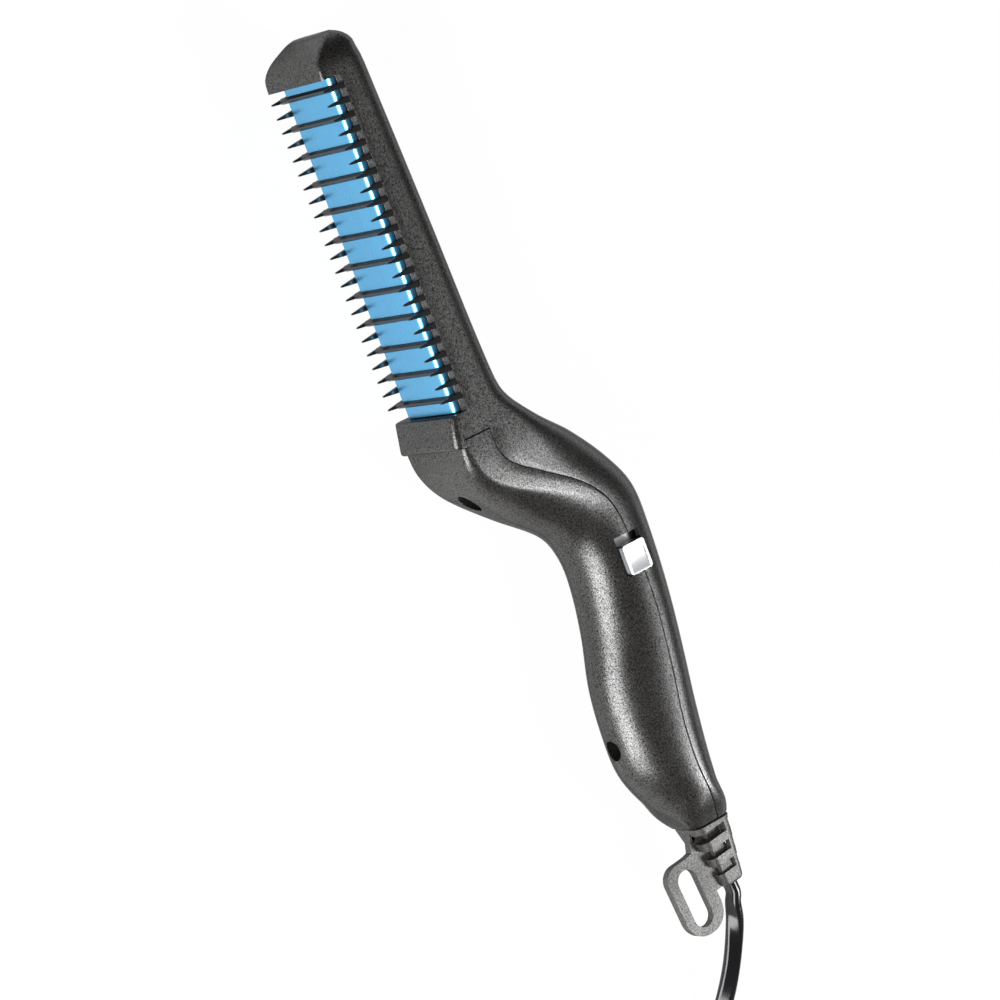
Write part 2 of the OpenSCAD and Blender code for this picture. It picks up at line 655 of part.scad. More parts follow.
module heater_lead_live() {
    color([0.55, 0.2, 0.12]) tube(smooth_route(live_route, 4), lead_section);
}
module heater_lead_neutral() {
    color([0.12, 0.25, 0.55]) tube(smooth_route(neutral_route, 4), lead_section);
}

/* Switch */

module switch_body() {
    color([0.1, 0.1, 0.1]) difference() {
        translate([switch_x - switch_len / 2, slot_y - switch_w / 2 + 0.1, switch_z])
            cube([switch_len, switch_w - 0.2, switch_h]);
        translate([slot_x + 0.4, slot_y - 1.7, switch_z + 2])
            cube([slot_len - 0.8, 3.4, switch_h]);
    }
}
module switch_terminals() {
    color([0.85, 0.72, 0.4]) {
        translate([terminal_x0, slot_y - 1.2, terminal_z - 0.25])
            cube([switch_x - switch_len / 2 - terminal_x0, 2.4, 0.5]);
        translate([switch_x + switch_len / 2, slot_y - 1.2, terminal_z - 0.25])
            cube([terminal_x1 - switch_x - switch_len / 2, 2.4, 0.5]);
    }
}
knob_x = slot_x + slot_len - knob_gap - knob_len;
knob_w = slot_w - 2 * knob_gap;
skirt_top = switch_top + 1.6;
stem_len = 4.6;
module switch_slider() {
    color([0.08, 0.08, 0.08]) {
        translate([knob_x + knob_len / 2 - stem_len / 2, slot_y - 1.4, switch_z + 2.6])
            cube([stem_len, 2.8, switch_top - switch_z - 2.2]);
        translate([knob_x + 0.6, slot_y - 3, switch_top + 0.2])
            cube([knob_len - 1.2, 6, skirt_top - 0.8 - switch_top - 0.2]);
    }
}
// The knob: a dished cap on a skirt that covers the slot from behind at both ends of its travel
module switch_knob() {
    top = grip_w / 2 + knob_out;
    r = 1;
    skirt_x0 = slot_x - 0.6;
    skirt_x1 = slot_x + slot_len + travel + 0.6;
    color([0.86, 0.87, 0.88]) difference() {
        union() {
            translate([knob_x, slot_y - knob_w / 2, skirt_top - 0.4]) linear_extrude(top - skirt_top + 0.4)
                union() {
                    translate([r, 0]) square([knob_len - 2 * r, knob_w]);
                    translate([0, r]) square([knob_len, knob_w - 2 * r]);
                    for (x = [r, knob_len - r], y = [r, knob_w - r]) translate([x, y]) circle(r);
                }
            translate([skirt_x0, slot_y - slot_w / 2 - 0.3, skirt_top - 0.8])
                cube([skirt_x1 - skirt_x0, slot_w + 0.6, 0.8]);
        }
        // The dish of the thumb face
        translate([knob_x + knob_len / 2, slot_y, top + 11.2]) rotate([90, 0, 0])
            cylinder(r = 12, h = knob_w - 1.6, center = true, $fn = 64);
    }
}

/* Wiring in the grip */

module wire_connector() {
    color([0.7, 0.7, 0.72]) translate([connector_x, connector_y, -6])
        rotate([0, 90, 0]) cylinder(d = 3, h = 7);
}
tail_x0 = end_x - 16;
core_d = 1.7;
core_section = round_section(core_d, 8);
core_z = 1.25;
core_x1 = tail_x0 - 0.25;
// A point of the grip, k of the way along it, midway between back and front
function middle_at(k, z) = let (x = hump_x + k * grip_len) [x, (back_y(x) + front_y(x)) / 2, z];
live_core_route = [
    [terminal_x1 + 0.1, slot_y, terminal_z], [terminal_x1 + 2, slot_y, terminal_z],
    [terminal_x1 + 6, slot_y - 0.5, terminal_z + 0.5],
    middle_at(0.37, 5), middle_at(0.58, 6.6), middle_at(0.74, 5.4),
    [tail_x0 - 3, cord_y(tail_x0 - 3), core_z], [core_x1, cord_y(core_x1), core_z]
];
neutral_core_route = [
    [connector_x + 7.1, connector_y, -6], [connector_x + 9, connector_y, -6],
    middle_at(0.55, -6.5), middle_at(0.65, -6.6), middle_at(0.74, -5.4),
    [tail_x0 - 3, cord_y(tail_x0 - 3), -core_z], [core_x1, cord_y(core_x1), -core_z]
];
module live_core() {
    color([0.45, 0.25, 0.12]) tube(smooth_route(live_core_route, 4), core_section);
}
module neutral_core() {
    color([0.15, 0.3, 0.6]) tube(smooth_route(neutral_core_route, 4), core_section);
}
module cord_clamp() {
    bar_y = cord_y(clamp_x) - cord_t / 2 - 2.4;
    color([0.12, 0.12, 0.12]) difference() {
        translate([clamp_x - 2.5, bar_y, -clamp_half - 2.4])
            cube([5, 2.1, 2 * clamp_half + 4.8]);
        both_sides() translate([clamp_x, bar_y - 1, clamp_half]) rotate([-90, 0, 0])
            cylinder(d = 2.3, h = 5);
    }
}
module clamp_screws() {
    bar_y = cord_y(clamp_x) - cord_t / 2 - 2.4;
    color([0.75, 0.75, 0.76]) both_sides() translate([clamp_x, bar_y - 1.2, clamp_half])
        rotate([-90, 0, 0]) {
            cylinder(d = 3.8, h = 1.2);
            cylinder(d = 2, h = 8.5);
        }
}

/* Strain relief with its hang loop */

// The relief's own frame: X along the cord from the handle's end
module relief_frame() {
    translate([end_x, relief_y, 0]) rotate([0, 0, relief_tilt]) children();
}
// Section of the flat cord: two lobes side by side, as [across, along its width]
lobe = (cord_w - cord_t) / 2;
function twin_section(grow, sides) = [for (i = [0:sides - 1]) let (
    t = -360 * (i + 0.5) / sides, r = cord_t / 2 + grow
) [r * sin(t), r * cos(t) + (cos(t) > 0 ? lobe : -lobe)]];
module cord_prism(x0, x1, grow) {
    translate([x0, 0, 0]) rotate([90, 0, 90]) linear_extrude(x1 - x0) {
        square([cord_t + 2 * grow, 2 * lobe], center = true);
        for (s = [-1, 1]) translate([0, s * lobe]) circle(d = cord_t + 2 * grow);
    }
}
module cord_tail() {
    color([0.04, 0.04, 0.045]) relief_frame()
        cord_prism((tail_x0 - end_x) / cos(relief_tilt), relief_len, 0);
}
function relief_half(x) = mix([relief_w / 2, 0], [relief_end_w / 2, 0], x / relief_len)[0];
// Tapered square bar with rounded corners, cut flush with the handle's end
module relief_body() {
    outline = [
        [-1, relief_half(-1)], [relief_len - 0.8, relief_half(relief_len - 0.8)],
        [relief_len, relief_half(relief_len) - 0.5]
    ];
    difference() {
        intersection() {
            relief_side(outline);
            rotate([90, 0, 0]) relief_side(outline);
            translate([-1, 0, 0]) rotate([0, 90, 0])
                cylinder(r1 = 1.22 * relief_half(-1), r2 = 1.24 * relief_half(relief_len), h = relief_len + 1);
        }
        rotate([0, 0, -relief_tilt]) translate([-20, -20, -20]) cube([20 + fit_gap, 40, 40]);
    }
}
module relief_side(outline) {
    translate([0, 0, -relief_w]) linear_extrude(2 * relief_w) polygon(concat(
        outline, reverse([for (p = outline) [p[0], -p[1]]])
    ));
}
module relief_slots() {
    core = [cord_t / 2 + 1.1, cord_w / 2 + 0.9];
    for (i = [0:slot_rings - 1]) let (
        x = 2.1 + i * relief_pitch, h = relief_half(x + relief_slot / 2), pillar = 0.32 * h
    ) translate([x, 0, 0]) rotate([90, 0, 90]) linear_extrude(relief_slot) difference() {
        square(3 * h, center = true);
        square(2 * core, center = true);
        for (s = [-1, 1]) translate([0.83 * h - pillar, s > 0 ? core[1] - 0.5 : -3 * h])
            square([pillar, 3 * h - core[1] + 0.5]);
    }
}
// The loop: a flat eye beside the cord, on a web that springs from the front of the relief
module hang_loop() {
    slot_x0 = loop_mid[0] - loop_slot_len / 2;
    slot_y0 = loop_mid[1] - loop_slot_w / 2;
    x0 = slot_x0 - loop_rim + 0.5;
    y0 = slot_y0 - loop_rim;
    y1 = slot_y0 + loop_slot_w + loop_rim + 1;
    heel_r = 4.5;
    translate([0, 0, -loop_t / 2]) linear_extrude(loop_t) difference() {
        union() {
            translate([x0 + heel_r, y0]) square([loop_x1 - loop_toe_r - x0 - heel_r, y1 - y0]);
            translate([x0, y0 + heel_r]) square([heel_r + 1, y1 - y0 - heel_r - 4]);
            translate([loop_x1 - loop_toe_r - 1, y0 + loop_toe_r])
                square([loop_toe_r + 1, y1 - y0 - 2 * loop_toe_r]);
            translate([x0 + heel_r, y0 + heel_r]) circle(heel_r, $fn = 48);
            for (y = [y0 + loop_toe_r, y1 - loop_toe_r])
                translate([loop_x1 - loop_toe_r, y]) circle(loop_toe_r, $fn = 64);
            polygon([
                [x0 - 3.1, -0.2 - relief_half(5)], [x0 - 1.9, -0.4 - relief_half(5)],
                [x0 - 1, -1 - relief_half(5)], [x0 - 0.4, -2.1 - relief_half(5)],
                [x0 - 0.1, -3.7 - relief_half(5)], [x0, -5.2 - relief_half(5)],
                [x0 + 3, y1 - 4], [relief_len - 0.5, y1], [relief_len - 0.5, -2], [x0 - 3.1, -2]
            ]);
        }
        translate([slot_x0 + loop_slot_w / 2, slot_y0]) {
            square([loop_slot_len - loop_slot_w, loop_slot_w]);
            for (x = [0, loop_slot_len - loop_slot_w]) translate([x, loop_slot_w / 2])
                circle(d = loop_slot_w);
        }
    }
}
module round_bar(x0, x1, half, r) {
    translate([x0, 0, 0]) rotate([90, 0, 90]) linear_extrude(x1 - x0) {
        square([2 * half, 2 * (half - r)], center = true);
        square([2 * (half - r), 2 * half], center = true);
        for (y = [r - half, half - r], z = [r - half, half - r]) translate([y, z]) circle(r);
    }
}
module strain_relief() {
    neck = end_half - 1.8;
    color([0.2, 0.2, 0.2]) relief_frame() difference() {
        union() {
            difference() {
                relief_body();
                relief_slots();
            }
            hang_loop();
            round_bar(-4.2, 0.3, neck, 2.4);
            round_bar(-6, -4.2, neck + 0.5, 3.2);
        }
        cord_prism(-10, relief_len + 5, 0.02);
    }
}

/* Cord, bundle and plug */

floor_z = -half_w;
cord_exit = [end_x + relief_len * cos(relief_tilt), cord_y(end_x + relief_len * cos(relief_tilt)), 0];
// Middle of the bundle, the angle where the cord joins it and the angle where it leaves
bundle_mid = [end_x + 103.5, 36];
join_angle = -135;
leave_angle = -65;
bundle_turns = bundle_loops + (leave_angle - join_angle) / 360;
loop_pitch = cord_t + loop_gap;
layer_h = cord_w + loop_gap;
bundle_z = floor_z + tie_t + 0.1 + cord_w / 2;
// The loops spiral in on the lower layer and out on the upper one. The half turn where they
// turn back climbs a layer, and is drawn in by dip so that it passes inside its neighbours
climb_half = 0.25;
dip = 0.75;
function bundle_point(s) = let (
    d = abs(s - bundle_turns / 2), in = bundle_turns / 2 - d,
    r = bundle_r - loop_pitch * (in + dip * (1 - ease(d, climb_half, 1))),
    z = bundle_z + layer_h * ease(s, bundle_turns / 2 - climb_half, bundle_turns / 2 + climb_half),
    a = join_angle + 360 * s
) [bundle_mid[0] + r * cos(a), bundle_mid[1] + r * sin(a), z];
loop_rings = 24;
// Its ends run straight for one width of the cord
join_dir = [cos(join_angle + 90), sin(join_angle + 90), 0];
leave_dir = [cos(leave_angle + 90), sin(leave_angle + 90), 0];
bundle_path = concat(
    [for (k = [1, 0.5]) bundle_point(0) - join_dir * cord_w * k],
    [for (i = [0:round(bundle_turns * loop_rings)]) bundle_point(min(i / loop_rings, bundle_turns))],
    [for (k = [0.5, 1]) bundle_point(bundle_turns) + leave_dir * cord_w * k]
);
bundle_section = let (t = cord_t / 2, w = cord_w / 2)
    [[t, 0], [t * 0.62, w], [-t * 0.62, w], [-t, 0], [-t * 0.62, -w], [t * 0.62, -w]];

// Route of the first free stretch, from the strain relief down to the bundle: [x, y, z, roll],
// with x from the handle's end
cord_points = [
    [26, 40.1, -0.6, -8], [30.6, 39.4, -1.6, -35], [36.2, 37.9, -3.2, -62],
    [42.5, 35.8, -5.2, -70], [48, 33.6, -7.2, -62], [53, 30.9, -8.9, -46],
    [59, 26.8, -10.5, -28], [65, 21.6, -11.4, -12]
];
cord_join = bundle_path[0];
cord_dir = [cos(relief_tilt), sin(relief_tilt), 0];
cord_route = concat(
    [for (k = [0, 2.5]) [each cord_exit + k * cord_dir, 0]],
    [for (p = cord_points) [end_x + p[0], p[1], p[2], p[3]]],
    [for (k = [4, 0]) [each cord_join - k * join_dir, 0]]
);
module cord() {
    color([0.04, 0.04, 0.045]) tube(smooth_route(cord_route, 2), twin_section(0, 12));
}
module cord_coil() {
    color([0.04, 0.04, 0.045]) tube(bundle_path, bundle_section);
}
// The bundle leaves its last loop straight for the plug
leave_point = bundle_path[len(bundle_path) - 1];
plug_run = 27;
plug_z = floor_z + plug_h / 2;
plug_start = [leave_point[0] + plug_run * leave_dir[0], leave_point[1] + plug_run * leave_dir[1], plug_z];
module cord_plug_end() {
    drop = leave_point[2] - plug_z;
    color([0.04, 0.04, 0.045]) tube([for (u = [0, 0.1, 0.25, 0.4, 0.55, 0.7, 0.85, 0.93, 1])
        leave_point + leave_dir * plug_run * u - [0, 0, drop * ease(u, 0.1, 0.85)]],
        twin_section(0, 12));
}
tie_angle = 50;
module cord_tie() {
    turns_in = bundle_turns / 2 + dip;
    r0 = bundle_r - loop_pitch * turns_in - cord_t / 2 - 0.25;
    r1 = bundle_r + cord_t / 2 + 0.25;
    h = layer_h + cord_w;
    color([0.05, 0.05, 0.05]) translate([bundle_mid[0], bundle_mid[1], bundle_z - cord_w / 2])
        rotate([0, 0, tie_angle]) difference() {
            translate([r0 - tie_t, -2.5, -tie_t - 0.1])
                cube([r1 - r0 + 2 * tie_t, 5, h + 2 * tie_t + 0.2]);
            translate([r0, -5, -0.1]) cube([r1 - r0, 10, h + 0.2]);
        }
}
module plug_frame() {
    translate(plug_start) rotate([0, 0, leave_angle + 90]) children();
}
sleeve_len = 10;
module plug_body() {
    taper = 6;
    color([0.05, 0.05, 0.055]) plug_frame() {
        // The flat body with its shoulders, seen from above, and the sleeve round the cord
        intersection() {
            translate([sleeve_len, 0, -plug_h / 2]) linear_extrude(plug_h) polygon([
                [0, -6], [taper, -plug_w / 2 + 4], [taper + 7, -plug_w / 2],
                [plug_len, -plug_w / 2], [plug_len, plug_w / 2], [taper + 7, plug_w / 2],
                [taper, plug_w / 2 - 4], [0, 6]
            ]);
            rotate([90, 0, 90]) linear_extrude(plug_len + sleeve_len) {
                square([plug_w - plug_h, plug_h], center = true);
                for (s = [-1, 1]) translate([s * (plug_w - plug_h) / 2, 0]) circle(d = plug_h);
            }
        }
        rotate([90, 0, 90]) linear_extrude(sleeve_len + 1) {
            square([6, 7.4], center = true);
            for (s = [-1, 1]) translate([0, s * 3.7]) circle(d = 6);
        }
    }
}
module plug_pins() {
    color([0.8, 0.8, 0.8]) plug_frame() translate([sleeve_len + plug_len, 0, 0])
        for (s = [-1, 1]) translate([0, s * pin_gap / 2, 0]) rotate([0, 90, 0]) {
            cylinder(d = pin_d, h = pin_len - pin_d / 2);
            translate([0, 0, pin_len - pin_d / 2]) sphere(d = pin_d);
        }
}

// Least gap of the bundle to itself, on the corners of its rings that are a third of a turn
// or more apart
function ring_gap(i, j) = let (
    a = bundle_path[i], b = bundle_path[j],
    ra = norm([a[0] - bundle_mid[0], a[1] - bundle_mid[1]]),
    rb = norm([b[0] - bundle_mid[0], b[1] - bundle_mid[1]])
) max(abs(ra - rb) - cord_t, abs(a[2] - b[2]) - cord_w);
least_gap = min([for (i = [2:len(bundle_path) - 3], k = [1:bundle_loops])
    if (i + k * loop_rings < len(bundle_path) - 2) ring_gap(i, i + k * loop_rings)]);
echo(least_bundle_gap = least_gap);

placed() back_shell();
placed() front_shell();
placed() housing_screws();
placed() comb_frame();
placed() heating_plate();
placed() ptc_heater();
placed() insulating_film();
placed() heater_clip();
placed() heater_tray();
placed() thermal_fuse();
placed() fuse_sleeve();
placed() heater_lead_live();
placed() heater_lead_neutral();
placed() switch_body();
placed() switch_terminals();
placed() switch_slider();
placed() switch_knob();
placed() wire_connector();
placed() live_core();
placed() neutral_core();
placed() cord_clamp();
placed() clamp_screws();
placed() cord_tail();
placed() strain_relief();
placed() cord();
placed() cord_coil();
placed() cord_tie();
placed() cord_plug_end();
placed() plug_body();
placed() plug_pins();
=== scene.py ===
"""Looks of a heated beard and hair comb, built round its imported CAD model."""

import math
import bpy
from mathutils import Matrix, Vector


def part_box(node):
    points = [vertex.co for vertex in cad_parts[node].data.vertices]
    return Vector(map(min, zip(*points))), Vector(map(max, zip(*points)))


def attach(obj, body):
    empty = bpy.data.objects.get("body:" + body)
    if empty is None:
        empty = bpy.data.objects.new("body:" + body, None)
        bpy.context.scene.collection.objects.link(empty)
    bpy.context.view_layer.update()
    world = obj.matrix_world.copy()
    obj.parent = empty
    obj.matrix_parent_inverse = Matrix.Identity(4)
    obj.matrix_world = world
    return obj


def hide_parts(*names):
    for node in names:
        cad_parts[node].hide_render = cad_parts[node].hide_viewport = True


bl_info = {
    "name": "Heated beard comb",
    "version": (1, 0, 0),
    "blender": (4, 5, 0),
    "location": "View3D > Sidebar > Beard comb",
    "description": "Builds the visible pieces of a heated beard and hair comb",
    "category": "Object",
}

import bmesh
import bpy
from bpy.props import FloatProperty, FloatVectorProperty, IntProperty, PointerProperty
from mathutils import Matrix, Vector

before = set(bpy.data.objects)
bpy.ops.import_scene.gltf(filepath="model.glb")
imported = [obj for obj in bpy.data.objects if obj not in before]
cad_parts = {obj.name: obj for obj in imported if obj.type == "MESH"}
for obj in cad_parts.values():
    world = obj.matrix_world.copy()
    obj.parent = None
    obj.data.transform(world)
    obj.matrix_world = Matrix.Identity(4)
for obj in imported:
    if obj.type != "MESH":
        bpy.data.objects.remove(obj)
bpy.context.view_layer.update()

# Pieces are drawn in millimetres: X from the tip of the head, Y from the tooth tips to the
# back, Z from the middle plane to the switch. This takes them to metres over the CAD model.
MM = 0.001
shell_low, shell_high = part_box("back_shell")
tip_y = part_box("comb_frame")[0].y
ZERO = Vector((shell_low.x, tip_y, (shell_low.z + shell_high.z) / 2))
DRAWING = Matrix.Translation(ZERO) @ Matrix.Scale(MM, 4)

HOUSING = "housing"
SWITCH = "switch"


def linear(code):
    """An sRGB hex colour as linear red, green and blue."""
    parts = [int(code[i:i + 2], 16) / 255 for i in (1, 3, 5)]
    return tuple(c / 12.92 if c <= 0.04045 else ((c + 0.055) / 1.055) ** 2.4 for c in parts)


def length(name, about, millimetres):
    """A size of the comb, kept in metres and given in millimetres."""
    return FloatProperty(name=name, description=about, default=millimetres * MM,
                         min=0.0, unit="LENGTH", precision=5)


def colour(name, about, code):
    return FloatVectorProperty(name=name, description=about, default=linear(code),
                               size=3, min=0.0, max=1.0, subtype="COLOR")


class CombSizes(bpy.types.PropertyGroup):
    """Sizes of the comb's head"""
    tooth_count: IntProperty(name="Teeth in a row", description="Teeth in each of the two rows",
                             default=23, min=3)
    tooth_pitch: length("Tooth pitch", "Spacing of the teeth", 4.0)
    tooth_root: length("Tooth root", "Thickness of a tooth at its root", 1.85)
    tooth_tip: length("Tooth tip", "Thickness of a tooth at its tip", 0.45)
    row_gap: length("Row gap", "Distance between the tips of the two rows", 27.0)
    rib_root: length("Rib root", "Thickness of a cross rib near the plate", 1.8)
    rib_crest: length("Rib crest", "Thickness of a cross rib along its crest", 0.7)
    plate_width: length("Plate width", "Width of the heated plate", 24.8)
    plate_edge: length("Plate edge", "Radius of the plate's long edges", 2.0)


class HandleSizes(bpy.types.PropertyGroup):
    """Sizes of the handle, its switch and its strain relief"""
    lip: length("Joint lip", "Radius of the shells' edges along the joint line", 0.16)
    seam: length("Joint gap", "Width of the joint line between the shells", 0.22)
    knob_length: length("Knob length", "Length of the slide knob", 8.6)
    knob_width: length("Knob width", "Width of the slide knob", 7.7)
    loop_edge: length("Loop edge", "Rounding of the hang loop's edges", 0.45)


class LeadSizes(bpy.types.PropertyGroup):
    """Sizes of the mains lead"""
    width: length("Lead width", "Width of the flat twin lead", 5.2)
    thickness: length("Lead thickness", "Thickness of the flat twin lead", 3.3)
    bundle_radius: length("Bundle radius", "Radius of the outermost loop of the bundle", 37.0)
    loop_gap: length("Loop gap", "Gap between neighbouring loops of the bundle", 0.55)


class Finish(bpy.types.PropertyGroup):
    """Colours of the finishes"""
    housing: colour("Housing", "Textured plastic of the two shells", "#1a1918")
    comb: colour("Comb", "Plastic of the teeth and ribs", "#121213")
    plate: colour("Plate", "Coating of the heated plate", "#58a2cc")
    relief: colour("Strain relief", "Soft plastic of the strain relief and hang loop", "#2a2927")
    lead: colour("Lead", "Jacket of the mains lead", "#0e0e10")
    chrome: colour("Knob", "Plating of the slide knob", "#a2a3a5")


GROUPS = {"comb_sizes": CombSizes, "comb_handle": HandleSizes, "comb_lead": LeadSizes,
          "comb_finish": Finish}


def mm(size):
    return size / MM


# ---- Lines of the side view ----

# Along X: the comb window, the front shell's start, the end of the block under the window,
# the top of the back, where the handle starts to taper to its end, and that end
WINDOW = (11.2, 106.5)
CHEEK_X = 113.3
BLOCK_X1 = 115.5
HUMP_X = 156.0
END_X = 242.5
TAPER_X = END_X - 12
# Along Y: the back at the hump, at the window's end and at the nose, and the pads' front
RISE = 54.8
BASE_D = 21.6
HEAD_D = 18.6
PAD_EDGE = 6.5
# Half the head's width, the walls, and the middle and half size of the handle's end
HALF_W = 15.0
WALL = 1.7
END_WALL = 1.2
END_Y = 38.9
END_HALF = 6.7
# How far the front shell's tongue lies behind the block's face
TONGUE_SINK = 1.5


def bend(along, up):
    return (BLOCK_X1 + along * (HUMP_X - BLOCK_X1), BASE_D + up * (RISE - BASE_D))


def grip(along, down):
    return (HUMP_X + along * (END_X - HUMP_X), RISE - down)


BACK_LINE = [
    (WINDOW[0], HEAD_D), (WINDOW[1] - 50, HEAD_D + 1.65), (WINDOW[1] - 8, BASE_D),
    (WINDOW[1] + 1, BASE_D + 1.7), bend(0.025, 0.27), bend(0.247, 0.572),
    bend(0.494, 0.825), bend(0.741, 0.98), (HUMP_X, RISE), grip(0.283, 2.1),
    grip(0.63, 6.5), grip(0.861, 8.9), (END_X, END_Y + END_HALF),
]
FRONT_LINE = [
    (CHEEK_X, 0.7), (BLOCK_X1 + 0.6, 0.6), (BLOCK_X1 + 6.5, 0.6), bend(0.37, -0.536),
    bend(0.617, -0.271), bend(0.864, 0.072), grip(0.012, 27.4), grip(0.11, 26.6),
    grip(0.283, 29), grip(0.462, 33.2), grip(0.63, 34.5), grip(0.751, 34),
    grip(0.861, 30.2), (END_X, END_Y - END_HALF),
]
JOINT_LINE = [
    (CHEEK_X, 11), (BLOCK_X1 + 4.5, 11.2), bend(0.222, -0.24), bend(0.373, 0.02),
    bend(0.508, 0.265), bend(0.63, 0.434), bend(0.778, 0.551), grip(0, 13.1),
    grip(0.22, 12.4), grip(0.467, 14.9), grip(0.635, 17.4), grip(0.795, 17.9),
    grip(0.93, 15.8), (END_X, END_Y + 1.6),
]
HALF_LINE = [
    (0, HALF_W), (CHEEK_X, HALF_W), (BLOCK_X1 + 5, HALF_W - 0.1), (BLOCK_X1 + 15, 14.2),
    (BLOCK_X1 + 25, 13.4), (HUMP_X - 6, 13), (grip(0.51, 0)[0], 12.9),
    (grip(0.74, 0)[0], 12.7), (grip(0.861, 0)[0], 12), (grip(0.935, 0)[0], 10),
    (END_X, END_HALF),
]
NOSE_FRONT = [(0, 9.6), (0.5, 8.4), (1.8, 6.5), (4.2, 3.2), (7.3, 0.9), (11.2, 0.5)]
NOSE_BACK = [(0, 12.6), (0.5, 13.8), (1.8, 15.5), (4.2, 17.5), (7.3, 18.3), (11.2, HEAD_D)]
NOSE_HALF = [(0, 8.6), (0.5, 9.8), (1.8, 11.6), (4.2, 13.6), (7.3, 14.7), (11.2, HALF_W)]


def curve(line, x):
    """Height of the smooth line through the points of a side view, at x."""
    i = next((k for k in range(len(line) - 2) if x < line[k + 1][0]), len(line) - 2)

    def slope(k):
        (x0, y0), (x1, y1) = line[max(k - 1, 0)], line[min(k + 1, len(line) - 1)]
        return (y1 - y0) / (x1 - x0)

    run = line[i + 1][0] - line[i][0]
    u = min(max((x - line[i][0]) / run, 0), 1)
    a, b, p, q = line[i][1], line[i + 1][1], slope(i) * run, slope(i + 1) * run
    return a + u * (p + u * (3 * (b - a) - 2 * p - q + u * (2 * (a - b) + p + q)))


def ease(x, x0, x1):
    u = min(max((x - x0) / (x1 - x0), 0), 1)
    return u * u * (3 - 2 * u)


def mix(a, b, u):
    return a * (1 - u) + b * u


def back_y(x):
    return curve(BACK_LINE, x)


def in_block(x):
    """Whether the front shell is still inside the block there."""
    return x < BLOCK_X1 + 0.1


def front_y(x):
    return curve(FRONT_LINE, x) + (TONGUE_SINK if in_block(x) else 0)


def half_z(x):
    """Half the width. The smooth line would swell a little past the head's."""
    return min(curve(HALF_LINE, x), HALF_W)


def steps(start, stop, count):
    return [mix(start, stop, i / count) for i in range(count + 1)]


def quarter(radius, count):
    """What a quarter round takes off one side and off the other, step by step."""
    return [(radius * (1 - math.sin(t)), radius * (1 - math.cos(t)))
            for t in steps(0, math.pi / 2, count)]


# ---- Mesh and material tools ----

def loft(sections):
    """Closed skin over sections of equally many points: a grid that is laid on them."""
    bm = bmesh.new()
    across = len(sections[0]) + 1
    bmesh.ops.create_grid(bm, x_segments=across - 1, y_segments=len(sections) - 1, size=1.0)
    bm.verts.ensure_lookup_table()
    for row, section in enumerate(sections):
        for column in range(across):
            bm.verts[row * across + column].co = section[column % len(section)]
    bmesh.ops.remove_doubles(bm, verts=bm.verts, dist=1e-5)
    bmesh.ops.holes_fill(bm, edges=[e for e in bm.edges if e.is_boundary], sides=0)
    bmesh.ops.recalc_face_normals(bm, faces=bm.faces)
    return bm


def box(low, high):
    bm = bmesh.new()
    size = Vector(high) - Vector(low)
    middle = (Vector(high) + Vector(low)) / 2
    place = Matrix.Translation(middle) @ Matrix.Diagonal((*size, 1))
    bmesh.ops.create_cube(bm, size=1.0, matrix=place)
    return bm


def rod(start, stop, radius, sides=48):
    """A round bar between two points."""
    bm = bmesh.new()
    start, stop = Vector(start), Vector(stop)
    turn = (stop - start).to_track_quat("Z", "Y").to_matrix().to_4x4()
    bmesh.ops.create_cone(bm, cap_ends=True, segments=sides, radius1=radius, radius2=radius,
                          depth=(stop - start).length,
                          matrix=Matrix.Translation((start + stop) / 2) @ turn)
    return bm


def round_edges(bm, edges, width, segments):
    bmesh.ops.bevel(bm, geom=edges, offset=width, offset_type="OFFSET", segments=segments,
                    profile=0.5, affect="EDGES", clamp_overlap=True, material=-1)


def soften(bm, width, segments=3, angle=30):
    """Rounds the edges that are sharper than an angle."""
    round_edges(bm, [e for e in bm.edges if len(e.link_faces) == 2
                     and e.calc_face_angle(0) > math.radians(angle)], width, segments)
    return bm


def rounded(half_y, half_z, radius, count):
    """Rectangle with round corners, as (y, z)."""
    points = []
    for turn, (cy, cz) in enumerate(((1, 1), (-1, 1), (-1, -1), (1, -1))):
        for t in steps(turn * math.pi / 2, (turn + 1) * math.pi / 2, count):
            points.append((cy * (half_y - radius) + radius * math.cos(t),
                           cz * (half_z - radius) + radius * math.sin(t)))
    return points


def add(bm, other):
    """Lays a copy of another mesh beside what bm holds."""
    mesh = bpy.data.meshes.new("part")
    other.to_mesh(mesh)
    bm.from_mesh(mesh)
    bpy.data.meshes.remove(mesh)


def boolean(base, tool, operation="DIFFERENCE"):
    """Base cut by the tool, or joined to it. Both are used up."""
    pair = []
    for bm in (base, tool):
        mesh = bpy.data.meshes.new("part")
        bm.to_mesh(mesh)
        bm.free()
        pair.append(bpy.data.objects.new("part", mesh))
        bpy.context.scene.collection.objects.link(pair[-1])
    cut = pair[0].modifiers.new("cut", "BOOLEAN")
    cut.object, cut.operation, cut.solver = pair[1], operation, "MANIFOLD"
    done = pair[0].evaluated_get(bpy.context.evaluated_depsgraph_get())
    result = bmesh.new()
    result.from_mesh(done.to_mesh())
    done.to_mesh_clear()
    for obj in pair:
        mesh = obj.data
        bpy.data.objects.remove(obj)
        bpy.data.meshes.remove(mesh)
    return result


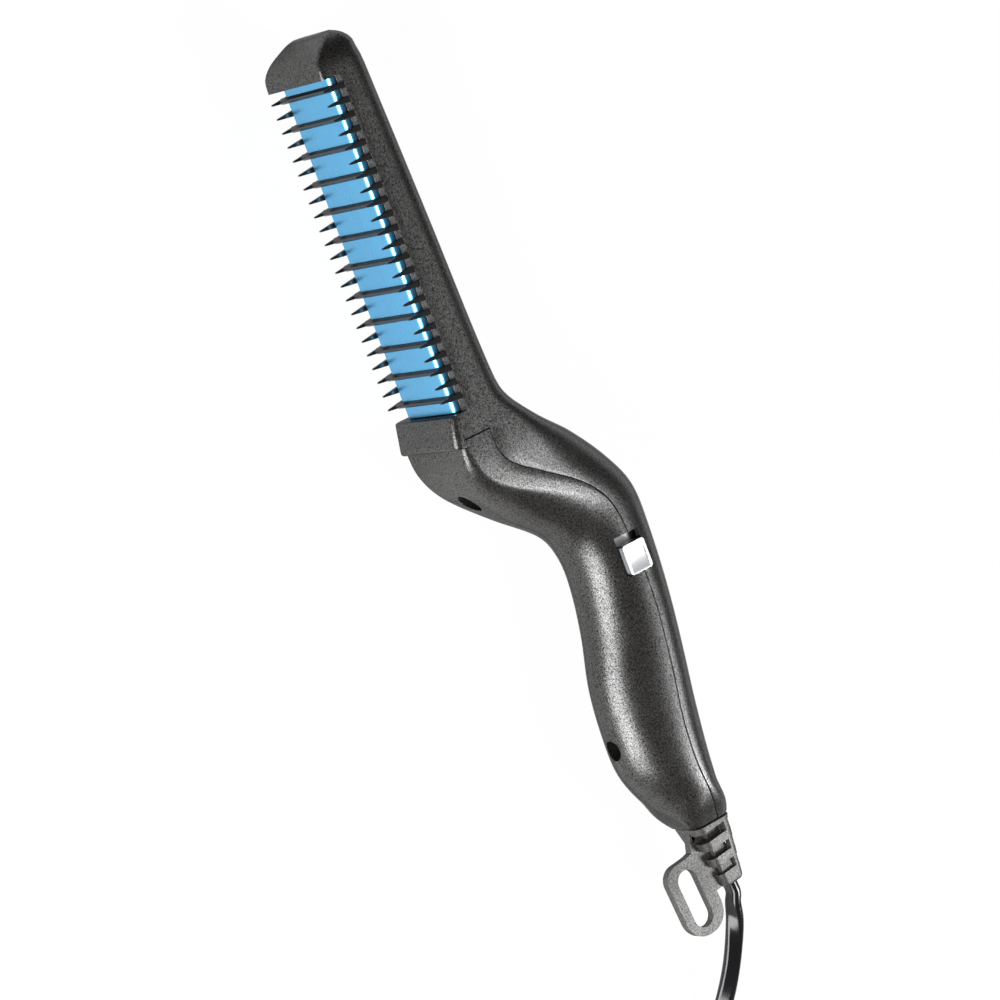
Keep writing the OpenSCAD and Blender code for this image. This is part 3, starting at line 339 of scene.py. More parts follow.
def piece(name, bm, look, body=HOUSING, replaces=(), sharp=32, place=Matrix(),
          flat=False):
    """Puts a finished mesh on its body, in metres, with its material."""
    bmesh.ops.transform(bm, matrix=DRAWING @ place, verts=bm.verts)
    mesh = bpy.data.meshes.new(name)
    bm.to_mesh(mesh)
    bm.free()
    mesh.shade_smooth()
    mesh.set_sharp_from_angle(angle=math.radians(sharp))
    mesh.materials.append(finish(look))
    obj = bpy.data.objects.new(name, mesh)
    bpy.context.scene.collection.objects.link(obj)
    if flat:
        # Flat faces stay flat to the eye between their rounded edges
        even = obj.modifiers.new("even", "WEIGHTED_NORMAL")
        even.keep_sharp = True
    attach(obj, body)
    if replaces:
        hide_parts(*replaces)
    return obj


def add_node(mat, kind, inputs=None, **settings):
    """Adds a shader node with its settings, its input values and its links."""
    node = mat.node_tree.nodes.new("ShaderNode" + kind)
    for name, value in settings.items():
        setattr(node, name, value)
    for name, value in (inputs or {}).items():
        if isinstance(value, bpy.types.NodeSocket):
            mat.node_tree.links.new(value, node.inputs[name])
        else:
            node.inputs[name].default_value = value
    return node


# Broad patches in every finish: their size, and how far its colour and roughness wander
PATCH = 14
PATCH_TINT, PATCH_ROUGH = 0.04, 0.1
# What a noise texture mostly stays between
NOISE = {"From Min": 0.3, "From Max": 0.7}
# Specular IOR Level at which a plastic mirrors as its IOR says
SPECULAR = 0.5


def material(name, base, roughness, grain, depth, speckle, streak=None, matt_edge=0.0,
             **shader):
    """A finish on Object coordinates.

    grain is the size of its surface texture in millimetres and depth the texture's height,
    speckle how far single grains go from the base colour, streak stretches the grain along
    X, and matt_edge is how far a coarse grain swallows the reflections where the surface
    turns away from the eye."""
    mat = bpy.data.materials.new(name)
    mat.use_nodes = True
    mat.node_tree.nodes.clear()
    where = add_node(mat, "TexCoord").outputs["Object"]
    if streak:
        where = add_node(mat, "Mapping", {"Vector": where, "Scale": streak}).outputs[0]
    fine = add_node(mat, "TexNoise", {"Vector": where, "Scale": 1 / (grain * MM), "Detail": 3.0,
                                      "Roughness": 0.6})
    broad = add_node(mat, "TexNoise", {"Vector": where, "Scale": 1 / (PATCH * MM),
                                       "Detail": 4.0})
    spread = add_node(mat, "MapRange", {"Value": fine.outputs["Fac"], **NOISE,
                                        "To Min": 1 - speckle, "To Max": 1 + speckle})
    drift = add_node(mat, "MapRange", {"Value": broad.outputs["Fac"], **NOISE,
                                       "To Min": 1 - PATCH_TINT, "To Max": 1 + PATCH_TINT})
    both = add_node(mat, "Math", {0: spread.outputs[0], 1: drift.outputs[0]},
                    operation="MULTIPLY")
    tint = add_node(mat, "VectorMath", {0: tuple(base), "Scale": both.outputs[0]},
                    operation="SCALE")
    rough = add_node(mat, "MapRange", {"Value": broad.outputs["Fac"], **NOISE,
                                       "To Min": roughness * (1 - PATCH_ROUGH),
                                       "To Max": roughness * (1 + PATCH_ROUGH)})
    turned = add_node(mat, "LayerWeight", {"Blend": 0.5})
    level = add_node(mat, "MapRange", {
        "Value": turned.outputs["Facing"], "From Min": 0.5, "From Max": 0.7,
        "To Min": SPECULAR, "To Max": SPECULAR * (1 - matt_edge)})
    gloss = add_node(mat, "Math", {0: spread.outputs[0], 1: level.outputs[0]},
                     operation="MULTIPLY")
    bump = add_node(mat, "Bump", {"Height": fine.outputs["Fac"], "Strength": 1.0,
                                  "Distance": depth * MM})
    surface = add_node(mat, "BsdfPrincipled", {
        "Base Color": tint.outputs[0], "Roughness": rough.outputs[0],
        "Specular IOR Level": gloss.outputs[0], "Normal": bump.outputs[0], **shader})
    out = add_node(mat, "OutputMaterial", {"Surface": surface.outputs[0]})
    out.is_active_output = True
    return mat


# Finishes inside or on small pieces: material, colour, roughness, then its grain's size and
# height in millimetres, and its speckle
PLAIN_FINISHES = {
    # Dull black with a faint grain
    "plug": ("Moulded_PVC_plug", "#141416", 0.42, 0.5, 0.02, 0.15),
    # Satin black
    "pin_sleeve": ("Moulded_pin_sleeve", "#1a1a1c", 0.4, 0.5, 0.01, 0.1),
    # Matt black, as rubber is
    "tie": ("Moulded_rubber_tie", "#1b1b1c", 0.55, 0.5, 0.03, 0.15),
    # Chalky off-white
    "ceramic": ("Sintered_PTC_ceramic", "#cfccc4", 0.6, 0.3, 0.01, 0.06),
    # Glossy amber
    "film": ("Polyimide_film", "#b8761f", 0.22, 1.5, 0.004, 0.04),
    # Sand-coloured and matt
    "tray": ("Moulded_PPS", "#b3ab98", 0.6, 0.5, 0.02, 0.08),
    # Rough off-white: the weave shows as its grain
    "sleeve": ("Woven_glass_sleeve", "#d9d6c9", 0.75, 0.4, 0.08, 0.12),
    # Dull red
    "red": ("Red_silicone_wire", "#8a2a1c", 0.5, 0.6, 0.01, 0.05),
    # Dull blue
    "blue": ("Blue_silicone_wire", "#23447f", 0.5, 0.6, 0.01, 0.05),
    # Satin brown
    "brown": ("Brown_PVC_core", "#5a3520", 0.42, 0.6, 0.01, 0.05),
    # Satin black
    "switch": ("Moulded_PBT", "#1c1c1d", 0.45, 0.4, 0.02, 0.1),
}
METAL_FINISHES = {
    # Warm silver with a soft shine
    "pins": ("Nickel_plated_brass", "#c9c6bd", 0.22, 0.6, 0.002, 0.03),
    # Near-black metal with a dull sheen
    "black_screw": ("Blackened_steel", "#26262a", 0.4, 0.4, 0.006, 0.1),
    # Cool silver, slightly dull
    "zinc_screw": ("Zinc_plated_steel", "#b8bcc0", 0.32, 0.6, 0.004, 0.08),
    # Yellow metal with a soft shine
    "brass": ("Stamped_brass", "#c9a45a", 0.3, 0.4, 0.003, 0.05),
    # Grey metal, slightly dull
    "crimp": ("Tinned_copper", "#a9a9ab", 0.35, 0.5, 0.004, 0.06),
    # Light metal with a soft shine
    "fuse": ("Drawn_aluminium_can", "#c4c6c9", 0.3, 0.4, 0.003, 0.04),
}
FINISHES = {}


def make_finishes(look):
    """Every material of the comb."""
    FINISHES.update({
        # ABS moulded in a spark-eroded tool: a sparkling grain that spreads the highlights.
        # The real one is too fine to show and is drawn 0.42 mm wide
        "housing": material("Moulded_ABS", look.housing, 0.31, grain=0.42, depth=0.045,
                            speckle=0.95, matt_edge=0.92),
        # Glass-filled nylon, moulded smooth: the teeth and ribs are near black, softly glossy
        "comb": material("Moulded_nylon", look.comb, 0.24, grain=0.8, depth=0.01,
                         speckle=0.1, matt_edge=0.85),
        # The same nylon against a grained wall of its mould: it sparkles as the housing does
        "rail": material("Grained_nylon", look.comb, 0.36, grain=0.42, depth=0.045,
                         speckle=0.95),
        # Aluminium extrusion under a blue ceramic coating: mirrors softly in its own colour
        "plate": material("Ceramic_coated_aluminium", look.plate, 0.28, grain=0.35,
                          depth=0.003, speckle=0.03, streak=(0.08, 1, 1),
                          **{"Metallic": 0.9, "Coat Weight": 0.2, "Coat Roughness": 0.3}),
        # Soft PVC from a blasted mould: matt and a little dusty
        "relief": material("Moulded_soft_PVC", look.relief, 0.48, grain=0.45, depth=0.04,
                           speckle=0.6, matt_edge=0.8),
        # Extruded PVC jacket: black and glossy
        "lead": material("Extruded_PVC_jacket", look.lead, 0.2, grain=1.2, depth=0.01,
                         speckle=0.06, **{"Specular IOR Level": 0.3}),
        # Chromium plate on ABS: mirrors what is round it, slightly orange-peeled
        "chrome": material("Chrome_plated_ABS", look.chrome, 0.32, grain=2.2, depth=0.02,
                           speckle=0.01, Metallic=1.0),
        # Spring steel: grey metal with fine lines along it from rolling
        "spring": material("Rolled_spring_steel", linear("#9fa2a6"), 0.28, grain=0.3,
                           depth=0.003, speckle=0.05, streak=(0.1, 1, 1), Metallic=1.0),
    })
    for key, (name, code, *surface) in PLAIN_FINISHES.items():
        FINISHES[key] = material(name, linear(code), *surface)
    for key, (name, code, *surface) in METAL_FINISHES.items():
        FINISHES[key] = material(name, linear(code), *surface, Metallic=1.0)


def finish(name):
    if not FINISHES:
        make_finishes(bpy.context.scene.comb_finish)
    return FINISHES[name]


def finish_nodes(finishes):
    """The CAD nodes that stay get their finish."""
    for node, name in finishes.items():
        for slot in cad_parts[node].material_slots:
            slot.material = finish(name)


# ---- Housing ----

SLOT_X = 156.8
SLOT_Y = 41.1
SLOT = (11.5, 8.2)
# The cut for the slot, from inside the shells to well outside them
SLOT_Z = (6, 20)
# The screws: x, and the y that the front shell's post reaches
SCREWS = ((132.6, 24.0), (212.9, 31.8))
RECESS_D = 6.0
POST_WALL = 1.3
POST_FLOOR = 1.6
SCREW_HOLE_R = 1.5
# Corners of the section, as far as they reach in Y and in Z
HEAD_CORNER = (8, 10)
END_CORNER = (3.5, 3.5)
BLOCK_ROUND = 2.1
BLOCK_EDGE = 1.2
# Stations along the handle: x, and how far the section draws in to round the end
HANDLE = [(x, 0.0) for x in steps(CHEEK_X, HUMP_X, 40) + steps(HUMP_X, TAPER_X, 56)[1:]
          + steps(TAPER_X, END_X - 0.6, 12)[1:]]
HANDLE += [(END_X - 0.3, 0.04), (END_X - 0.12, 0.12), (END_X, 0.3)]


def half_section(edge, face, half, corner, side, count):
    """Half a section from the joint at +Z over the face to the joint at -Z, as (y, z)."""
    cy = min(corner[0], abs(face - edge) - 0.2)
    cz = min(corner[1], half - 0.3)
    arc = [(face - side * cy * a, half - cz * b) for a, b in quarter(1, count)]
    return arc + [(y, -z) for y, z in reversed(arc)]


def corner_mix(a, b, u):
    return (mix(a[0], b[0], u), mix(a[1], b[1], u))


def grip_corner(x, depth):
    return corner_mix((depth - 0.3, half_z(x) - 0.3), END_CORNER, ease(x, TAPER_X, END_X))


def back_corner(x):
    depth = back_y(x) - curve(JOINT_LINE, x)
    return corner_mix(HEAD_CORNER, grip_corner(x, depth), ease(x, BLOCK_X1 - 6, HUMP_X - 14))


def front_corner(x):
    depth = curve(JOINT_LINE, x) - front_y(x)
    edge = 0.4 if in_block(x) else mix(1.9, 3.2, ease(x, BLOCK_X1, BLOCK_X1 + 6))
    return corner_mix((edge, edge), grip_corner(x, depth), ease(x, BLOCK_X1 + 3, HUMP_X - 8))


def c_ring(x, edge, face, corner, side, lip, inset=0.0):
    """Section of a shell with its wall: an open C whose two edges are rounded."""
    wall = mix(WALL, END_WALL, ease(x, TAPER_X, END_X))
    inner_face, half = face - side * wall, half_z(x) - inset
    face -= side * inset
    rim = [(edge + side * a, half - b) for a, b in reversed(quarter(lip, 3))]
    outer = half_section(edge, face, half, corner, side, 14)
    middle = [((rim[-1][0] + outer[0][0]) / 2, half)]
    line = rim + middle + outer + [(y, -z) for y, z in reversed(rim + middle)]
    inside = half_z(x) - wall
    inner = half_section(edge, inner_face, inside,
                         (max(corner[0] - wall, 0.6), max(corner[1] - wall, 0.6)), side, 8)
    line += [(edge, -inside)] + list(reversed(inner)) + [(edge, inside)]
    return [(x, y, z) for y, z in line]


def nose_ring(x):
    """Closed section of the nose."""
    front, back, half = curve(NOSE_FRONT, x), curve(NOSE_BACK, x), curve(NOSE_HALF, x)
    # The corners are tight at the tip and open out over the first 7 mm
    k = 0.35 + 0.65 * ease(x, 0, 7)
    middle = PAD_EDGE if x == WINDOW[0] else max(
        mix(front, PAD_EDGE, ease(x, 0, WINDOW[0])) + 0.8, front + 1.8)
    back_part = half_section(middle, back, half, (HEAD_CORNER[0] * k, HEAD_CORNER[1] * k), 1, 14)
    front_part = half_section(middle, front, half, (1.5, 1.5), -1, 8)
    line = [(middle, half)] + back_part + [(middle, -half)] + list(reversed(front_part))
    return [(x, y, z) for y, z in line]


def block_ring(x, sunk):
    """Section of the block under the comb window; its front slants and its edges are round."""
    front = 0.45 - 1.85 * (x - WINDOW[1]) / (BLOCK_X1 - WINDOW[1]) + sunk
    back = PAD_EDGE + 0.6 if x < CHEEK_X else 2.0
    arc = [(front + a, HALF_W - b) for a, b in quarter(BLOCK_ROUND, 8)]
    line = [(back, HALF_W)] + arc + [(y, -z) for y, z in reversed(arc)] + [(back, -HALF_W)]
    return [(x, y, z) for y, z in line]


def back_shell(sizes):
    lip, seam = mm(sizes.lip), mm(sizes.seam)
    # The head's edge is finer than the joint's, and sharp inside the block
    head = [(x, lip / 3) for x in steps(WINDOW[0], WINDOW[1] - 10, 20)]
    head += [(WINDOW[1] - before, lip / 3) for before in (7, 4, 1.5, 0.01)]
    head += [(x, 0.02) for x in (WINDOW[1], WINDOW[1] + 2, WINDOW[1] + 4, CHEEK_X - 0.02)]
    rings = [c_ring(x, PAD_EDGE, back_y(x), back_corner(x), 1, edge) for x, edge in head]
    rings += [c_ring(x, curve(JOINT_LINE, x) + seam / 2, back_y(x), back_corner(x), 1, lip, cut)
              for x, cut in HANDLE]
    shell = loft(rings)
    nose = loft([nose_ring(x) for x in (
        0, 0.12, 0.3, 0.5, 0.8, 1.2, 1.8, 2.5, 3.3, 4.2, 5.2, 6.2, 7.3, 8.5, 9.8, WINDOW[0])])
    shell = boolean(shell, nose, "UNION")
    stations = [(WINDOW[1], 0.35), (WINDOW[1] + 0.12, 0.12), (WINDOW[1] + 0.35, 0.0),
                (CHEEK_X - 0.02, 0), (CHEEK_X, 0), (BLOCK_X1 - BLOCK_EDGE, 0)]
    stations += [(BLOCK_X1 - a, b) for a, b in quarter(BLOCK_EDGE, 6)[1:]]
    shell = boolean(shell, loft([block_ring(x, sunk) for x, sunk in stations]), "UNION")
    return boolean(shell, switch_opening())


def switch_opening():
    return box((SLOT_X, SLOT_Y - SLOT[1] / 2, SLOT_Z[0]),
               (SLOT_X + SLOT[0], SLOT_Y + SLOT[1] / 2, SLOT_Z[1]))


def front_shell(sizes):
    lip, seam = mm(sizes.lip), mm(sizes.seam)
    # A tongue in the block, a step out of it, then the handle
    stations = [(CHEEK_X + 0.4, 0.0), (BLOCK_X1, 0.0), (BLOCK_X1 + 0.2, 0.0)]
    stations += [(x, cut) for x, cut in HANDLE if x > BLOCK_X1 + 0.3]
    rings = [c_ring(x, curve(JOINT_LINE, x) - seam / 2, front_y(x), front_corner(x), -1, lip, cut)
             for x, cut in stations]
    shell = boolean(loft(rings), switch_opening())
    for x, reach in SCREWS:
        # The post starts inside the slanting wall
        post = rod((x, -5, 0), (x, reach - 0.1, 0), RECESS_D / 2 + POST_WALL)
        for v in post.verts:
            if v.co.y < 0:
                v.co.y = front_y(v.co.x) + 1.2
        shell = boolean(shell, post, "UNION")
        shell = boolean(shell, rod((x, -20, 0), (x, reach - POST_FLOOR, 0), RECESS_D / 2))
        shell = boolean(shell, rod((x, 0, 0), (x, reach + 2, 0), SCREW_HOLE_R))
    return shell


class COMB_OT_housing(bpy.types.Operator):
    """Two moulded shells with their screws"""
    bl_idname = "comb.housing"
    bl_label = "Housing"

    def execute(self, context):
        sizes = context.scene.comb_handle
        piece("housing_back", back_shell(sizes), "housing",
              replaces=["back_shell"])
        piece("housing_front", front_shell(sizes), "housing",
              replaces=["front_shell"])
        finish_nodes({"housing_screws": "black_screw"})
        return {"FINISHED"}


# ---- Comb ----

# The first tooth from the window's end, the roots' place in Y and across, half the tips'
# width, and the radius of every edge
FIRST_TOOTH = 3
ROOT_Y = 6.2
ROOT_Z = (12.8, 14.85)
TIP_HALF = 0.35
TOOTH_EDGE = 0.12
# The ribs' crest and foot in Y
RIB_Y = (2.2, 3.55)


def tooth(sizes, at, side):
    """One tooth: a blade that narrows to its tip, seen from the side and from the front."""
    bm = bmesh.new()
    bmesh.ops.create_cube(bm, size=2.0)
    tip_z = mm(sizes.row_gap) / 2
    for v in bm.verts:
        at_root, outside = v.co.y > 0, v.co.z > 0
        thick = mm(sizes.tooth_root if at_root else sizes.tooth_tip) / 2
        z = ROOT_Z[outside] if at_root else tip_z + (TIP_HALF if outside else -TIP_HALF)
        v.co = (at + v.co.x * thick, ROOT_Y if at_root else 0.0, side * z)
    bmesh.ops.recalc_face_normals(bm, faces=bm.faces)
    round_edges(bm, bm.edges[:], TOOTH_EDGE, 2)
    return bm


def rib(sizes, at):
    """One cross rib from row to row: a ridge with a narrow crest."""
    crest, root = mm(sizes.rib_crest) / 2, mm(sizes.rib_root) / 2
    low, high = RIB_Y
    line = [(-root, high), (-crest, low + 0.12), (-crest * 0.6, low + 0.02), (0, low),
            (crest * 0.6, low + 0.02), (crest, low + 0.12), (root, high)]
    half = mm(sizes.row_gap) / 2
    return loft([[(at + x, y, z) for x, y in line] for z in steps(-half, half, 6)])


def pad_rail(side):
    """The rail on one pad: its face slants from the outer edge to a round inner crest."""
    line = [(9.5, 13.8), (6.42, 13.8), (6.38, 14.86), (5.82, 13.26), (5.72, 13.12),
            (5.68, 13.0), (5.7, 12.92), (5.8, 12.88), (9.5, 12.88)]
    ends = (WINDOW[0] + 0.1, WINDOW[1] - 0.1)
    return loft([[(x, y, side * z) for y, z in line] for x in steps(*ends, 24)])


class COMB_OT_comb(bpy.types.Operator):
    """Comb frame with its two rows of teeth, ribs and rails"""
    bl_idname = "comb.comb"
    bl_label = "Comb frame"

    def execute(self, context):
        sizes = context.scene.comb_sizes
        bm = bmesh.new()
        for i in range(sizes.tooth_count):
            at = WINDOW[0] + FIRST_TOOTH + i * mm(sizes.tooth_pitch)
            for side in (1, -1):
                add(bm, tooth(sizes, at, side))
            if i % 2 == 0:
                add(bm, rib(sizes, at))
        rails = bmesh.new()
        for side in (1, -1):
            add(rails, pad_rail(side))
        piece("comb_rails", rails, "rail", sharp=60, flat=True)
        piece("comb", bm, "comb", replaces=["comb_frame"],
              sharp=60, flat=True)
        return {"FINISHED"}


# ---- Heater ----

# The plate's face and the back of its flanges in Y, and the flanges' width and thickness
PLATE_FACE = 3.7
PLATE_BACK = 8.0
FLANGE_W = 2
FLANGE_T = 1.8


class COMB_OT_heater(bpy.types.Operator):
    """Heated plate with the heater pack behind it"""
    bl_idname = "comb.heater"
    bl_label = "Heater"

    def execute(self, context):
        sizes = context.scene.comb_sizes
        half = mm(sizes.plate_width) / 2
        arc = [(PLATE_FACE + b, half - a) for a, b in quarter(mm(sizes.plate_edge), 12)]
        line = arc + [(PLATE_BACK, half), (PLATE_BACK, half - FLANGE_W),
                      (PLATE_BACK - FLANGE_T, half - FLANGE_W)]
        line += [(y, -z) for y, z in reversed(line)]
        ends = (WINDOW[0] + 0.3, WINDOW[1] - 0.3)
        bm = loft([[(x, y, z) for y, z in line] for x in steps(*ends, 8)])
        piece("hot_plate", bm, "plate", replaces=["heating_plate"])
        finish_nodes({
            "ptc_heater": "ceramic", "insulating_film": "film", "heater_clip": "spring",
            "heater_tray": "tray", "thermal_fuse": "fuse", "fuse_sleeve": "sleeve",
            "heater_lead_live": "red", "heater_lead_neutral": "blue"})
        return {"FINISHED"}


# ---- Switch ----

# The knob's foot and top in Z, its gap to the slot's end and the radius of its corners
KNOB_Z = (9.2, 14.2)
KNOB_GAP = 0.25
KNOB_CORNER = 0.9
# The dish in its top, between two rims
DISH_R = 26
DISH_DEPTH = 0.32
DISH_RIM = 0.8
# The skirt on its foot, which keeps the slot closed as the knob slides
SKIRT_X = (SLOT_X - 0.6, SLOT_X + 14.3)
SKIRT_HALF = 4.4
SKIRT_Z = (8.9, 9.6)


class COMB_OT_switch(bpy.types.Operator):
    """Slide knob with the switch under it"""
    bl_idname = "comb.switch"
    bl_label = "Slide switch"

    def execute(self, context):
        sizes = context.scene.comb_handle
        long, wide = mm(sizes.knob_length), mm(sizes.knob_width)
        x1 = SLOT_X + SLOT[0] - KNOB_GAP
        x0 = x1 - long
        low, top = KNOB_Z
        cap = box((x0, SLOT_Y - wide / 2, low), (x1, SLOT_Y + wide / 2, top))
        upright = [e for e in cap.edges if abs(e.verts[0].co.z - e.verts[1].co.z) > 1]
        round_edges(cap, upright, KNOB_CORNER, 6)
        x, z, half = (x0 + x1) / 2, top + (DISH_R - DISH_DEPTH), wide / 2 - DISH_RIM
        cap = boolean(cap, rod((x, SLOT_Y - half, z), (x, SLOT_Y + half, z), DISH_R, sides=320))
        soften(cap, 0.16, angle=40)
        add(cap, box((SKIRT_X[0], SLOT_Y - SKIRT_HALF, SKIRT_Z[0]),
                     (SKIRT_X[1], SLOT_Y + SKIRT_HALF, SKIRT_Z[1])))
        piece("slide_knob", cap, "chrome", SWITCH,
              replaces=["switch_knob"], sharp=60, flat=True)
        finish_nodes({"switch_slider": "switch", "switch_body": "switch",
                      "switch_terminals": "brass"})
        return {"FINISHED"}


# ---- Strain relief ----

RELIEF_Y = 39.2
RELIEF_TILT = math.radians(4.9)
RELIEF_LEN = 20.0
RELIEF = Matrix.Translation((END_X, RELIEF_Y, 0)) @ Matrix.Rotation(RELIEF_TILT, 4, "Z")
# Half its width and the radius of its corners, at the handle and at the lead
RELIEF_HALF = (6.3, 3.4)
RELIEF_CORNER = (2.6, 1.3)
# The rings of slots: their first place, spacing and width, and half the core they leave
RELIEF_SLOTS = 3
SLOT_FIRST = 2.1
SLOT_PITCH = 5.4
SLOT_WIDE = 2.8
CORE_HALF = (2.35, 3.05)
# The back pillars, as shares of the relief's half width: their back and their thickness
PILLAR_BACK, PILLAR_T = 0.83, 0.32
# The hang loop: thickness, radii of its corner, its end and its eye, and the eye's middles
LOOP_T = 2.6
LOOP_CORNER_R = 4.5
LOOP_END_R = 6.4
EYE_R = 3.3
EYE_X = (12.3, 23.3)
EYE_Y = -12.95


def relief_half(x):
    return mix(*RELIEF_HALF, x / RELIEF_LEN)


def square_section(x, half, radius, shear=0.0):
    """Rounded square across the lead; shear tilts it flush with the handle's end."""
    return [(x + shear * y, y, z) for y, z in rounded(half, half, radius, 6)]


def relief_body():
    corner, tilt = RELIEF_CORNER[0], math.tan(RELIEF_TILT)
    sections = [square_section(0.42, relief_half(0) - 0.15, corner, tilt),
                square_section(0.6, relief_half(0), corner, tilt * 0.9)]
    sections += [square_section(x, relief_half(x), mix(*RELIEF_CORNER, x / RELIEF_LEN))
                 for x in steps(1.6, RELIEF_LEN - 0.9, 10)]
    sections += [square_section(RELIEF_LEN - 0.9 * a, relief_half(RELIEF_LEN) - 0.7 * b, 1.2)
                 for a, b in quarter(1, 5)[1:]]
    return loft(sections)


def relief_cutter(i):
    """What one ring of slots takes away: all but the core and the two back pillars."""
    x = SLOT_FIRST + i * SLOT_PITCH
    half = relief_half(x + SLOT_WIDE / 2)
    back = PILLAR_BACK * half
    cutter = box((x, -3 * half, -3 * half), (x + SLOT_WIDE, 3 * half, 3 * half))
    cutter = boolean(cutter, box((x - 1, -CORE_HALF[0], -CORE_HALF[1]), (x + 4, *CORE_HALF)))
    for side in (1, -1):
        low, high = sorted((side * 3.0, side * 4 * half))
        cutter = boolean(cutter, box((x - 1, back - PILLAR_T * half, low), (x + 4, back, high)))
    # The front stays whole under the web of the loop
    return boolean(cutter, box((x - 1, -4 * half, -4 * half), (x + 4, -0.6 * half, -1)))


def smooth(points, count):
    """A smooth line through points whose first and last stretch are straight."""
    line = []
    for i in range(len(points) - 1):
        b, c = Vector(points[i]), Vector(points[i + 1])
        if i in (0, len(points) - 2):
            line += [b.lerp(c, k / count) for k in range(count)]
            continue
        a, d = Vector(points[i - 1]), Vector(points[i + 2])
        for k in range(count):
            u = k / count
            line.append(b + u * ((c - a) / 2 + u * ((a - 2.5 * b + 2 * c - d / 2)
                                                    + u * (1.5 * b - a / 2 - 1.5 * c + d / 2))))
    return line + [Vector(points[-1])]


def flat_plate(outline, low, high):
    """A plate with the outline's shape: a face that is pulled up."""
    bm = bmesh.new()
    face = bmesh.ops.contextual_create(bm, geom=[bm.verts.new((x, y, low)) for x, y in outline])
    raised = bmesh.ops.extrude_face_region(bm, geom=face["faces"])
    top = [g for g in raised["geom"] if isinstance(g, bmesh.types.BMVert)]
    bmesh.ops.translate(bm, vec=(0, 0, high - low), verts=top)
    bmesh.ops.recalc_face_normals(bm, faces=bm.faces)
    return bm


def arc_points(centre, radius, start, stop, count):
    return [(centre[0] + radius * math.cos(math.radians(t)),
             centre[1] + radius * math.sin(math.radians(t))) for t in steps(start, stop, count)]


def hang_loop(sizes):
    """The flat eye beside the lead, on a web that springs from the front of the relief."""
    web = smooth([(1.0, -6.15, 0), (2.6, -6.0, 0), (4.2, -6.05, 0), (5.3, -6.6, 0),
                  (6.0, -7.7, 0), (6.35, -9.28, 0), (6.5, -10.8, 0), (6.5, -14.7, 0)], 3)
    outline = [(1.0, -2)] + [(p.x, p.y) for p in web]
    outline += arc_points((11, -14.75), LOOP_CORNER_R, 180, 270, 12)
    outline += arc_points((22.7, -12.85), LOOP_END_R, 270, 360, 16)
    outline += arc_points((22.7, -12.05), LOOP_END_R, 0, 90, 16) + [(19.5, -5.65), (19.5, -2)]
    plate = flat_plate(outline, -LOOP_T / 2, LOOP_T / 2)
    eye = arc_points((EYE_X[1], EYE_Y), EYE_R, -90, 90, 20)
    eye += arc_points((EYE_X[0], EYE_Y), EYE_R, 90, 270, 20)
    plate = boolean(plate, flat_plate(eye, -5, 5))
    return soften(plate, mm(sizes.loop_edge), 4, 50)


class COMB_OT_relief(bpy.types.Operator):
    """Slotted strain relief with the hang loop moulded on"""
    bl_idname = "comb.relief"
    bl_label = "Strain relief"

    def execute(self, context):
        sizes = context.scene.comb_handle
        bm = relief_body()
        for i in range(RELIEF_SLOTS):
            bm = boolean(bm, relief_cutter(i))
        bmesh.ops.dissolve_limit(bm, angle_limit=math.radians(0.5), verts=bm.verts, edges=bm.edges)
        soften(bm, 0.18, 2, 50)
        # The stub that sits in the handle's end
        add(bm, loft([square_section(x, END_HALF - 1.8, 2.4) for x in (-5.5, 0.3)]))
        add(bm, hang_loop(sizes))
        piece("strain_relief_moulding", bm, "relief",
              replaces=["strain_relief"], place=RELIEF, sharp=50, flat=True)
        finish_nodes({"cord_clamp": "switch", "clamp_screws": "zinc_screw"})
        return {"FINISHED"}


# ---- Lead ----

EXIT = Vector((END_X + RELIEF_LEN * math.cos(RELIEF_TILT),
               RELIEF_Y + RELIEF_LEN * math.sin(RELIEF_TILT), 0))
EXIT_DIR = Vector((math.cos(RELIEF_TILT), math.sin(RELIEF_TILT), 0))
# Past the handle's end: x, y, z and the lead's roll about its own line
FREE_POINTS = [
    (26, 40.1, -0.6, -8), (30.6, 39.4, -1.6, -35), (36.2, 37.9, -3.2, -62),
    (42.5, 35.8, -5.2, -70), (48, 33.6, -7.2, -62), (53, 30.9, -8.9, -46),
    (59, 26.8, -10.5, -28), (65, 21.6, -11.4, -12),
]
FLOOR_Z = -HALF_W
# The stored bundle, and where the lead joins it and leaves it
BUNDLE_MID = Vector((END_X + 103.5, 36, 0))
JOIN_ANGLE, LEAVE_ANGLE = math.radians(-135), math.radians(-65)
JOIN_DIR, LEAVE_DIR = (Vector((math.cos(a + math.pi / 2), math.sin(a + math.pi / 2), 0))
                       for a in (JOIN_ANGLE, LEAVE_ANGLE))
LOOPS = 9
TURNS = LOOPS + (LEAVE_ANGLE - JOIN_ANGLE) / (2 * math.pi)
# Half the climb between its layers in turns, and how many loops further in it lies there
CLIMB = 0.25
CLIMB_IN = 0.75
# The tie: its thickness, half its width, its gap to the lead and its place on the bundle
TIE_T = 0.8
TIE_HALF = 2.5
TIE_GAP = 0.25
TIE_ANGLE = math.radians(50)
# The plug: the lead's run to it, its size, and the rounding of its front
PLUG_RUN = 27.0
PLUG_LEN = 46
PLUG_H = 13.7
PLUG_W = 35.3
PLUG_EDGE = 0.8
# Half its size at the neck, its finger grips and the ribs of its sleeve
NECK_W, NECK_H = 6.2, 5.0
GRIPS_X = (26, 38)
GRIP_DEPTH, GRIP_PITCH = 0.35, 3.2
RIB_DEPTH, RIB_PITCH = 0.38, 2.2
PLUG_Z = FLOOR_Z + PLUG_H / 2
